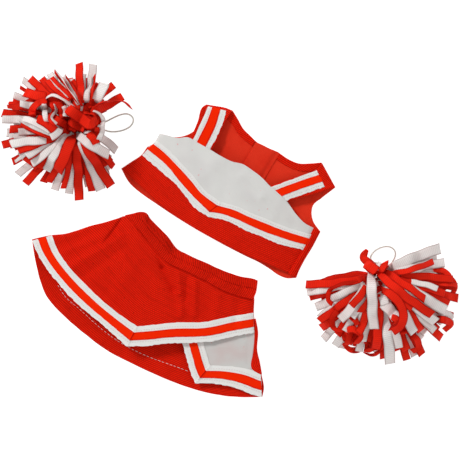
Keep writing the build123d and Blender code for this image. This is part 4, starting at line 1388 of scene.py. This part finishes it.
RIGHT_CURLS = [
    ("r", [(-10, -3, 31), (-18, -5, 28), (-30, -8, 20), (-38, -14, 12), (-38, -20, 9), (-35, -23, 7)], 5.2, (66, 40)),
    ("r", [(-28, -26, 18), (-35, -34, 12), (-33, -42, 8), (-27, -44, 7)], 6.2, (20, 60)),
    ("r", [(-10, -61, 3), (-4, -63, 4), (3, -59, 8), (6, -50, 15), (5, -42, 22)], 4.6, (60, 66)),
    ("r", [(-26, -54, 4), (-20, -59, 4), (-13, -58, 6), (-13, -51, 11), (-20, -48, 14)], 6.0, (30, 60)),
    ("r", [(-27, -44, 13), (-19, -42, 16), (-13, -47, 14), (-17, -54, 9)], 6.2, (20, 50)),
    ("r", [(-12, -52, 9), (-6, -52, 12), (-3, -57, 9), (-8, -60, 5)], 6.0, (20, 50)),
    ("r", [(24, -46, 13), (31, -51, 9), (32, -58, 5), (27, -60, 4)], 6.2, (10, 40)),
    ("r", [(44, 3, 16), (53, 2, 11), (57, -2, 8), (52, -6, 7)], 6.0, (30, 60)),
    ("r", [(50, -4, 12), (59, -5, 8), (62, -10, 5), (60, -15, 4)], 6.0, (20, 50)),
    ("w", [(46, -30, 14), (54, -30, 9), (58, -33, 6), (53, -37, 4)], 6.0, (20, 40)),
    ("r", [(40, -36, 14), (51, -35, 10), (58, -39, 6), (53, -44, 3)], 6.4, (10, 40)),
    ("w", [(10, -8, 34), (22, -18, 30), (34, -29, 23), (45, -37, 15)], 8.0, (12, -10)),
    ("w", [(14, -5, 33), (28, -13, 29), (44, -23, 19), (53, -28, 12)], 8.4, (30, 0)),
    ("w", [(1, -20, 28), (9, -27, 30), (14, -34, 26)], 8.8, (-10, 20)),
    ("r", [(0, -10, 34), (9, -15, 37), (16, -22, 37), (19, -31, 34), (17, -39, 30), (11, -44, 25)], 7.2, (10, 20)),
    ("r", [(8, -31, 29), (14, -35, 31), (10, -43, 27)], 6.2, (10, 50)),
    ("r", [(-9, 9, 30), (-5, 5.5, 44), (-1, 2.5, 42)], 8.4, (0, 10)),
    ("r", [(1, 1, 40), (4, 6, 45), (6, 10, 30)], 6.0, (20, 50)),
    ("r", [(-7, 19, 8), (-10, 13, 14), (-4, 7, 21), (0, 2, 25)], 6.4, (20, -20)),
]


def filler(reaches, first, step, count, seed, hooks):
    """Random strips under the chosen ones: they leave the tie at every angle, rise and fall to the table, each as
    far as the pompom reaches on its side."""
    random = np.random.default_rng(seed)
    share = np.linspace(0, len(reaches) - 1, count)
    angle = np.radians(first + step * np.clip(share + random.uniform(-0.4, 0.4, count), 0, len(reaches) - 1))
    reach = np.interp((np.degrees(angle) - first) / step, np.arange(len(reaches)), reaches) * random.uniform(
        0.84, 1.0, count
    )
    start = np.stack([np.cos(angle), np.sin(angle)], -1) * random.uniform(3.2, 5.0, (count, 1))
    turn = angle + random.uniform(-0.12, 0.12, count)
    tip = np.stack([np.cos(turn), np.sin(turn)], -1) * reach[:, None]
    level = random.uniform(0, 1, count)
    heights = np.stack([4 + 12 * level, 3 + 10 * level, 0.6 + 5 * level], -1)
    return {
        "red": random.uniform(0, 1, count) < 0.66,
        "start": start,
        "tip": tip,
        "bow": random.uniform(-4, 4, count),
        "heights": heights * 0.7,
        "width": random.uniform(6.2, 8.2, count),
        "rolls": random.choice([-1, 1], (count, 1)) * random.uniform(0, 20, (count, 2)),
        "hook": random.choice([-1, 0, 0, 1], count) * hooks,
    }


def chosen(rows):
    """The listed strips as arrays. A low one that shows only its outer end starts under the others."""
    names = ("red", "start", "tip", "bow", "heights", "width", "rolls")
    made = {
        key: np.array([row[i] == "r" if i == 0 else row[i] for row in rows], bool if i == 0 else float) for i,
        key in enumerate(names)
    }
    far = np.linalg.norm(made["start"], axis=1)
    under = (far > 15) & (made["heights"][:, 1] < 18)
    made["start"][under] *= (9 / far[under])[:, None]
    made["bow"][under] *= 0.6
    return made


def bowed(strips, t, seed):
    """Middle lines of the second degree from start to tip, bowed aside and up, with a slight sway."""
    random = np.random.default_rng(seed)
    a, c, h = strips["start"], strips["tip"], strips["heights"]
    way = c - a
    span = np.linalg.norm(way, axis=1)
    across = np.stack([-way[:, 1], way[:, 0]], -1) / span[:, None]
    b = (a + c) / 2 + across * strips["bow"][:, None]
    p0, p1, p2 = (np.concatenate([p, h[:, i : i + 1]], 1)[:, None] for i, p in enumerate((a, b, c)))
    t3 = t[None, :, None]
    path = (1 - t3) ** 2 * p0 + 2 * t3 * (1 - t3) * p1 + t3**2 * p2
    sway = np.sin(
        2 * np.pi * (0.5 + span / 22)[:, None] * t + random.uniform(0, 6.28, (len(a), 1))
    ) * (span / 40).clip(0.3, 1)[:, None]
    path[..., :2] += across[:, None] * (sway * np.sin(np.pi * t) * 0.35)[..., None]
    hook = np.clip((t - 0.72) / 0.28, 0, 1) ** 2 * strips["hook"][:, None]
    path[..., :2] += across[:, None] * (hook * 7)[..., None] - (way / span[:, None])[:, None] * (np.abs(hook) * 3)[
        ..., None
    ]
    return path


def between(count, parts):
    """Weights that put new rows evenly between the rows of a grid, by straight lines."""
    at = np.arange((count - 1) * parts + 1) / parts
    low = np.minimum(at.astype(int), count - 2)
    weights = np.zeros((len(at), count))
    weights[np.arange(len(at)), low] = 1 - (at - low)
    weights[np.arange(len(at)), low + 1] += at - low
    return weights


def settle(grid, t, order, gap, core, cell=0.8, top=57.0):
    """Lays the strips on one another, from the lowest to the highest. A map holds the height reached so far, at
    first the core's. Each row of a strip rises until all of it is clear, and the rise is spread softly along the
    strip."""
    spots = (np.arange(MAP_SPOTS) - (MAP_SPOTS - 1) / 2) * cell
    reach = np.where(np.hypot(spots[:, None], spots[None]) < core[0] + 0.4, core[1], -1e3)
    rows, columns = between(len(t), FINE), between(grid.shape[2], FINE)
    shifts = np.arange(-SPREAD, SPREAD + 1)
    soft = np.exp(-(shifts**2) / 14.0)
    soft /= soft.sum()
    share = np.clip((t - 0.03) / 0.12, 0, 1)
    for k in order:
        fine = np.einsum("ar,rcx,bc->abx", rows, grid[k], columns)
        i, j = (np.clip((fine[..., axis] / cell + MAP_SPOTS / 2).astype(int), 0, MAP_SPOTS - 2) for axis in (0, 1))
        need = np.pad(np.clip((reach[i, j] + gap - fine[..., 2]).max(1), 0, None), SPREAD, mode="edge")
        wide = np.max([np.roll(need, shift)[SPREAD:-SPREAD] for shift in shifts], axis=0)
        rise = np.convolve(np.pad(wide, SPREAD, mode="edge"), soft, "valid")[::FINE] * share
        z = grid[k, ..., 2] + rise[:, None]
        grid[k, ..., 2] = np.where(z > top - 6, top - 6 * np.exp(-(z - top + 6) / 6), z)
        solid = rows[BARE_ROWS:] @ grid[k, ..., 2] @ columns.T
        np.maximum.at(reach, (i[BARE_ROWS:], j[BARE_ROWS:]), solid)
    return grid


def strip_meshes(path, red, width, rolls, order, t, centre, thickness, core, seed):
    """The strips as closed cloth round their middle lines: each stands across its line, rolled about it from one
    angle to the other, slightly cupped, with a narrow gathered root and a square tip."""
    n, rows, columns = len(red), len(t), 7
    random = np.random.default_rng(seed)
    span = np.linalg.norm(np.diff(path, axis=1), axis=-1).sum(1)
    phase = random.uniform(0, 6.28, (n, 2))
    waves = 0.5 + span / 22
    along = unit(np.gradient(path, axis=1))
    side = unit(np.cross(along, np.array([0.0, 0, 1])), 1e-6)
    up = np.cross(side, along)
    roll = rolls[:, :1] * (1 - t) + rolls[:, 1:] * t + 6 * np.sin(2 * np.pi * waves[:, None] * t + phase[:, 1:])
    roll = np.radians(roll)[..., None]
    wide = np.cos(roll) * side + np.sin(roll) * up
    face = np.cos(roll) * up - np.sin(roll) * side
    rim = np.array([-1, -0.93, -0.5, 0, 0.5, 0.93, 1])
    half = width[:, None] / 2 * (0.42 + 0.58 * np.sin(np.pi / 2 * np.clip(t / 0.3, 0, 1)))
    cup = random.uniform(-0.7, 0.3, (n, 1)) * (
        0.5 + 0.5 * np.cos(2 * np.pi * waves[:, None] * 0.5 * t + phase[:, :1])
    )
    grid = path[:, :, None] + wide[
        :, :, None
    ] * (half[:, :, None] * rim)[..., None] + face[:, :, None] * (cup[:, :, None] * (rim**2 - 0.4))[..., None]
    skew = random.uniform(-0.8, 0.8, (n, 1, 1)) * rim[None, None] * np.clip((t - 0.8) / 0.2, 0, 1)[None, :, None]
    grid = grid + along[:, :, None] * skew[..., None]
    edge = np.minimum(np.minimum(t, 1 - t)[:, None] * 40, (1 - np.abs(rim))[None] * 8).clip(0, 1)
    grid = settle(grid, t, order, thickness + 0.06, core)
    low = 0.35 + thickness * 0.6
    grid[..., 2] = np.where(
        grid[..., 2] < low + 1.5, low + 1.5 * np.exp((grid[..., 2] - low - 1.5) / 1.5), grid[..., 2]
    )
    normal = facing(grid)
    puff = normal * (np.sqrt(edge) * thickness / 2)[None, ..., None]
    length = np.concatenate([np.zeros((n, 1)), np.cumsum(np.linalg.norm(np.diff(path, axis=1), axis=-1), 1)], 1)
    u = np.broadcast_to(length[:, :, None], (n, rows, columns)) + random.uniform(0, 400, (n, 1, 1))
    v = np.broadcast_to(half[:, :, None] * rim, (n, rows, columns)) * (STRIP_WIDTH / width)[:, None, None]
    uv = np.stack([u, v], -1) + random.integers(0, 9, (n, 1, 1, 1)) * np.array([200.0, 0])
    free = np.zeros((rows, columns), bool)
    free[1:-1, 1:-1] = True
    free = free.ravel()
    top = np.arange(rows * columns)
    under = top.copy()
    under[free] = rows * columns + np.arange(free.sum())
    one = quads(rows, columns)
    one = np.concatenate([one, under[one][:, ::-1]])
    each = rows * columns + int(free.sum())
    corners = np.concatenate([(grid + puff).reshape(n, -1, 3), (grid - puff).reshape(n, -1, 3)[:, free]], 1)
    uvs = np.concatenate([uv.reshape(n, -1, 2), uv.reshape(n, -1, 2)[:, free]], 1)
    place = np.array([*centre, 0.0])
    for shade in (True, False):
        keep = red == shade
        count = int(keep.sum())
        faces = (one[None] + (np.arange(count) * each)[:, None, None]).reshape(-1, 4)
        yield shade, (corners[keep].reshape(-1, 3) + place, faces, uvs[keep].reshape(-1, 2))


def build_pompom(side, centre, rows, curls, reaches, first, step, count, hooks, seeds, materials, sizes):
    """A pompom: strips of red and white cloth, gathered by a tie round a rolled core."""
    t = np.linspace(0, 1, 26)
    t = np.concatenate([[0, 0.012], t[1:-1], [0.988, 1]])
    more, hand = filler(reaches, first, step, count, seeds[0], hooks), chosen(rows)
    hand["hook"] = np.zeros(len(rows))
    strips = {key: np.concatenate([more[key], hand[key]]) for key in more}
    path = np.concatenate([bowed(strips, t, seeds[1]), np.array([smooth(points, at=t) for _, points, _, _ in curls])])
    red = np.concatenate([strips["red"], [row[0] == "r" for row in curls]])
    width = np.concatenate([strips["width"], [row[2] for row in curls]]) * sizes.strip_width / MM / STRIP_WIDTH
    rolls = np.concatenate([strips["rolls"], [row[3] for row in curls]])
    order = np.argsort(path[:, 13, 2], kind="stable")
    path[..., 2] *= SINK
    for shade, mesh in strip_meshes(path, red, width, rolls, order, t, centre, STRIP_THICK, CORE, seeds[1]):
        name = "red" if shade else "white"
        piece(
            f"{side}_pompom_{name}_cloth", [mesh], materials[f"strip_{name}"], f"{side}_pompom",
            (f"{side}_pompom_{name}_strips",), f"{name}_strip"
        )

    low, high = (np.array(corner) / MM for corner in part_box(f"{side}_pompom_tie"))
    middle, radius = (low + high) / 2, (high[0] - low[0]) / 2
    turns = np.linspace(0, 2 * np.pi * 4.5, 220)
    coil = np.stack(
        [
            middle[0] + (radius - 0.45) * np.cos(turns), middle[1] + (radius - 0.45) * np.sin(turns),
            middle[2] + np.linspace(-1.6, 1.6, 220)
        ],
        -1
    )
    piece(
        f"{side}_pompom_tie_thread", [tube(coil, 0.42, 6)], materials["cord"], f"{side}_pompom",
        (f"{side}_pompom_tie",), "tie"
    )

    low, high = (np.array(corner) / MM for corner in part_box(f"{side}_pompom_core"))
    middle, radius = (low + high) / 2, (high[0] - low[0]) / 2
    turn, rise = np.linspace(0, 2 * np.pi * 3.2, 90), np.linspace(low[2] + 0.3, 24.0, 12)
    spread = radius * (0.16 + 0.74 * turn / turn[-1])
    roll = np.stack(
        [
            np.broadcast_to((middle[0] + spread * np.cos(turn))[:, None], (90, 12)),
            np.broadcast_to((middle[1] + spread * np.sin(turn))[:, None], (90, 12)),
            np.broadcast_to(rise[None], (90, 12)),
        ],
        -1,
    )
    piece(
        f"{side}_pompom_core_roll", [thick(roll, 0.5, cloth_uv(roll))], materials["strip_red"], f"{side}_pompom",
        (f"{side}_pompom_core",), "red_strip"
    )


def build_pompoms(materials, sizes):
    """Both pompoms, each with how far it reaches on its sides, and the angle of the first side and the step on."""
    left = (20, 18, 21, 27, 40, 37, 46, 55, 58, 56, 50, 50, 50, 38)
    right = (48, 50, 55, 60, 63, 64, 62, 61, 60, 52)
    build_pompom("left", LEFT_AT, LEFT_STRIPS, LEFT_CURLS, left, -30, 27, 84, 0.3, (101, 102), materials, sizes)
    build_pompom("right", RIGHT_AT, RIGHT_STRIPS, RIGHT_CURLS, right, 192, 20, 78, 0.9, (111, 112), materials, sizes)


# ------------------------------------------------------------------ the wrist loops
LEFT_LOOP = [
    (2.3, 1.0, 5.0), (7.0, 0.4, 4.0), (12.8, 1.6, 2.4), (18.8, 5.2, 1.2), (25.2, 8.3, 0.8), (31.0, 8.8, 0.7),
    (35.2, 5.0, 0.7)
]
LEFT_LOOP += [
    (33.4, -0.6, 0.7), (28.0, -4.0, 0.7), (22.0, -5.6, 0.8), (16.4, -5.8, 1.2), (11.2, -4.4, 2.4), (6.4, -2.2, 3.8),
    (2.3, -1.0, 5.0)
]
RIGHT_LOOP = [
    (0.7, 2.4, 5.0), (-1.2, 6.6, 3.8), (1.2, 10.2, 2.0), (7.0, 10.0, 0.9), (12.6, 6.6, 0.7), (16.6, 1.2, 0.7)
]
RIGHT_LOOP += [(15.8, -4.6, 0.7), (11.2, -7.0, 0.8), (6.0, -6.6, 1.4), (1.4, -5.8, 3.0), (0.5, -2.4, 5.0)]


def build_loop(side, centre, turn, route, materials, sizes):
    """A wrist loop of elastic cord, as one open curve from its knot round and back, and the overhand knot."""
    a = math.radians(turn)
    foot = (centre[0] + KNOT_OUT * math.cos(a), centre[1] + KNOT_OUT * math.sin(a))
    points = on_table(np.array(route), foot, turn) * MM
    curve = bpy.data.curves.new(f"{side}_loop_cord", "CURVE")
    curve.dimensions = "3D"
    curve.bevel_depth = sizes.cord / 2
    curve.bevel_resolution = 3
    curve.resolution_u = 10
    curve.use_fill_caps = True
    spline = curve.splines.new("NURBS")
    spline.points.add(len(points) - 1)
    spline.points.foreach_set("co", np.concatenate([points, np.ones((len(points), 1))], 1).ravel())
    spline.order_u = 3
    spline.use_endpoint_u = True
    curve.materials.append(materials["cord"])
    loop = bpy.data.objects.new(f"{side}_loop_cord", curve)
    bpy.context.scene.collection.objects.link(loop)
    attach(loop, f"{side}_loop")
    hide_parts(f"{side}_wrist_loop")

    t = np.linspace(0, 2 * np.pi, 96, endpoint=False)
    trefoil = np.stack(
        [np.sin(t) + 2 * np.sin(2 * t), np.cos(t) - 2 * np.cos(2 * t), -1.15 * np.sin(3 * t)], -1
    ) * 0.47
    knot = trefoil + np.array([*foot, KNOT_HIGH])
    knot = piece(
        f"{side}_loop_knot_cord", [tube(knot, sizes.cord / MM / 2, 8, closed=True)], materials["cord"],
        f"{side}_loop", (f"{side}_loop_knot",), "elastic_cord"
    )


def build_loops(materials, sizes):
    """The wrist loops of both pompoms."""
    build_loop("left", LEFT_AT, -2, LEFT_LOOP, materials, sizes)
    build_loop("right", RIGHT_AT, 62, RIGHT_LOOP, materials, sizes)


# ------------------------------------------------------------------ the stage
LENS = 250.8  # focal length of the camera, in mm
EYE = (-0.00064, -0.00016, 2.5)  # place of the camera, in metres
LAMPS = (("key", (-0.58, -0.68, 0), 0.2, 1.65), ("fill", (0.4, 0.5, 0), 1.2, 0.45))  # name, turn, spread, strength
FLOOR_GLOW, ROOM_GLOW = 0.90, 0.52


def build_stage():
    """The white table, the light from above, and the camera over the middle of the set."""
    scene = bpy.context.scene
    scene.view_settings.view_transform = "Standard"
    camera = bpy.data.cameras.new("camera")
    camera.lens, camera.sensor_width = LENS, 36.0
    camera.clip_start, camera.clip_end = 0.1, 10.0
    eye = bpy.data.objects.new("camera", camera)
    eye.location = EYE
    scene.collection.objects.link(eye)
    scene.camera = eye
    mesh = bpy.data.meshes.new("table")
    mesh.from_pydata([(-6, -6, 0), (6, -6, 0), (6, 6, 0), (-6, 6, 0)], [], [(0, 1, 2, 3)])
    floor = bpy.data.objects.new("table", mesh)
    floor.location.z = -0.0003
    scene.collection.objects.link(floor)
    white = bpy.data.materials.new("table_white")
    white.use_nodes = True
    shader = white.node_tree.nodes["Principled BSDF"]
    shader.inputs["Base Color"].default_value = (0.35, 0.35, 0.35, 1)
    shader.inputs["Emission Color"].default_value = (1, 1, 1, 1)
    shader.inputs["Emission Strength"].default_value = FLOOR_GLOW
    shader.inputs["Roughness"].default_value = 0.9
    shader.inputs["Specular IOR Level"].default_value = 0.0
    mesh.materials.append(white)
    for name, turn, spread, energy in LAMPS:
        light = bpy.data.lights.new(name, "SUN")
        light.angle, light.energy = spread, energy
        lamp = bpy.data.objects.new(name, light)
        lamp.rotation_euler, lamp.location = turn, (0, 0, 2)
        scene.collection.objects.link(lamp)
    world = bpy.data.worlds.new("room")
    world.use_nodes = True
    world.node_tree.nodes["Background"].inputs[0].default_value = (1, 1, 1, 1)
    world.node_tree.nodes["Background"].inputs[1].default_value = ROOM_GLOW
    scene.world = world


# ------------------------------------------------------------------ the add-on
def make_materials(colours, sizes):
    """The materials of the set, made once."""
    made = getattr(make_materials, "made", None)
    if made is None:
        red, white, rib = tuple(colours.red), tuple(colours.white), sizes.rib / MM
        made = {
            "red_knit": rib_knit("red_knit", red, rib),
            # 0.36: the painted shade in the waistband's grooves
            "waist_knit": rib_knit("waistband_knit", red, rib * 1.1, 0.36, 0.0004),
            "lining": lining_knit("lining", (0.84, red[1] * 1.3, red[2] * 1.6)),
            # the second colour of each white cloth is the tint of its painted shade
            "white_cloth": mesh_cloth("white_cloth", white, (0.62, 0.60, 0.59)),
            "inset_cloth": mesh_cloth("inset_cloth", scaled(white, 0.86), (0.60, 0.47, 0.455)),
            "white_tape": tape_cloth("white_tape", tuple(colours.tape), (0.55, 0.25, 0.22)),
            "red_ribbon": ribbon_cloth("red_ribbon", tuple(colours.ribbon)),
            # a darker copy of the ribbon for the mitres' fold edges: painted shade
            "fold": ribbon_cloth("ribbon_fold_shade", (0.55, 0.006, 0.001)),
            # each strip cloth: its colour, its painted shade, and the painted shade along its edges
            "strip_red": strip_cloth(
                "strip_red", tuple(colours.strip_red), scaled(colours.strip_red, 0.70), (0.38, 0.004, 0.002)
            ),
            "strip_white": strip_cloth(
                "strip_white", tuple(colours.strip_white), (0.78, 0.66, 0.64), (0.50, 0.41, 0.39)
            ),
            "cord": thread_cloth("cord", tuple(colours.cord)),
            "white_thread": thread_cloth("white_thread", (0.85, 0.82, 0.80)),
            "elastic": mesh_cloth("elastic", white, scaled(white, 0.8), 0.9),
            "hook": mesh_cloth("hook_tape", scaled(white, 0.9), scaled(white, 0.8), 0.5),
        }
        make_materials.made = made
    return made


def build_closure(materials, sizes):
    """The two halves of the closure under the lap."""
    for name, z, node, slot, body in (
        ("top_hook_closure", 1.1, "top_hook_tape", "hook_tape", "top"),
        ("top_loop_closure", 1.9, "top_loop_tape", "loop_tape", "top_lap"),
    ):
        flat = TOP.span(straight((7.5, -21), (19.5, -21)), straight((7.5, 51), (19.5, 51)), (1.0, 1.0))
        sheet_of(name, TOP, flat, z, 0.5, materials["hook"], None, (node,), slot, body=body)


class CHEER_OT_stage(bpy.types.Operator):
    """Lay the white table, hang the lights and place the camera"""

    bl_idname = "cheer.stage"
    bl_label = "Table, Lights and Camera"

    def execute(self, context):
        build_stage()
        return {"FINISHED"}


class Step:
    """What the other steps share: each one builds its pieces with the panel's colours and sizes."""

    def execute(self, context):
        sizes = context.scene.cheer_sizes
        materials = make_materials(context.scene.cheer_colours, sizes)
        for build in self.builds:
            build(materials, sizes)
        return {"FINISHED"}


class CHEER_OT_loops(Step, bpy.types.Operator):
    """Tie the two wrist loops of elastic cord"""

    bl_idname = "cheer.loops"
    bl_label = "Wrist Loops"
    builds = (build_loops,)


class CHEER_OT_top_back(Step, bpy.types.Operator):
    """Sew the back of the top with its lap, facings and closure"""

    bl_idname = "cheer.top_back"
    bl_label = "Top: Back"
    builds = (build_top_back, build_closure, build_lap)


class CHEER_OT_top_front(Step, bpy.types.Operator):
    """Sew the yoke, the ribbed band and the sides of the top"""

    bl_idname = "cheer.top_front"
    bl_label = "Top: Front"
    builds = (build_top_front,)


class CHEER_OT_top_straps(Step, bpy.types.Operator):
    """Sew the two shoulder straps with their braid"""

    bl_idname = "cheer.top_straps"
    bl_label = "Top: Straps"
    builds = (build_straps,)


class CHEER_OT_top_braid(Step, bpy.types.Operator):
    """Lay the pointed braid across the front of the top"""

    bl_idname = "cheer.top_braid"
    bl_label = "Top: Braid"
    builds = (build_top_braid,)


class CHEER_OT_skirt_back(Step, bpy.types.Operator):
    """Lay the back panel of the skirt with its hem braid and stitches"""

    bl_idname = "cheer.skirt_back"
    bl_label = "Skirt: Back"
    builds = (build_skirt_back,)


class CHEER_OT_skirt_front(Step, bpy.types.Operator):
    """Lay the overlay, the side inset and the wrap of the skirt"""

    bl_idname = "cheer.skirt_front"
    bl_label = "Skirt: Front"
    builds = (build_skirt_front,)


class CHEER_OT_skirt_braid(Step, bpy.types.Operator):
    """Lay the braid on the overlay and round the inset"""

    bl_idname = "cheer.skirt_braid"
    bl_label = "Skirt: Braid"
    builds = (build_skirt_braid,)


class CHEER_OT_waistband(Step, bpy.types.Operator):
    """Gather the waistband round its elastic"""

    bl_idname = "cheer.waistband"
    bl_label = "Waistband"
    builds = (build_waistband,)


class CHEER_OT_pompoms(Step, bpy.types.Operator):
    """Tie the strips of the two pompoms"""

    bl_idname = "cheer.pompoms"
    bl_label = "Pompoms"
    builds = (build_pompoms,)


OPERATORS = (
    CHEER_OT_stage,
    CHEER_OT_loops,
    CHEER_OT_top_back,
    CHEER_OT_top_front,
    CHEER_OT_top_straps,
    CHEER_OT_top_braid,
    CHEER_OT_skirt_back,
    CHEER_OT_skirt_front,
    CHEER_OT_skirt_braid,
    CHEER_OT_waistband,
    CHEER_OT_pompoms,
)


class CHEER_PT_panel(bpy.types.Panel):
    """Settings and steps of the cheer uniform"""

    bl_idname = "CHEER_PT_panel"
    bl_label = "Cheer Uniform"
    bl_space_type = "VIEW_3D"
    bl_region_type = "UI"
    bl_category = "Cheer Uniform"

    def draw(self, context):
        for settings in (context.scene.cheer_sizes, context.scene.cheer_colours):
            column = self.layout.column()
            for key in settings.__annotations__:
                column.prop(settings, key)
        for operator in OPERATORS:
            self.layout.operator(operator.bl_idname)


CLASSES = (CheerSizes, CheerColours, *OPERATORS, CHEER_PT_panel)


def register():
    """Adds the classes and their settings to Blender."""
    for cls in CLASSES:
        bpy.utils.register_class(cls)
    bpy.types.Scene.cheer_sizes = bpy.props.PointerProperty(type=CheerSizes)
    bpy.types.Scene.cheer_colours = bpy.props.PointerProperty(type=CheerColours)


def unregister():
    """Takes them out again."""
    del bpy.types.Scene.cheer_colours
    del bpy.types.Scene.cheer_sizes
    for cls in reversed(CLASSES):
        bpy.utils.unregister_class(cls)


def main():
    """Builds the whole set, one step after another."""
    register()
    for operator in OPERATORS:
        group, name = operator.bl_idname.split(".")
        if getattr(getattr(bpy.ops, group), name)() != {"FINISHED"}:
            raise RuntimeError(f"{operator.bl_idname} did not finish")


if __name__ == "__main__":
    main()
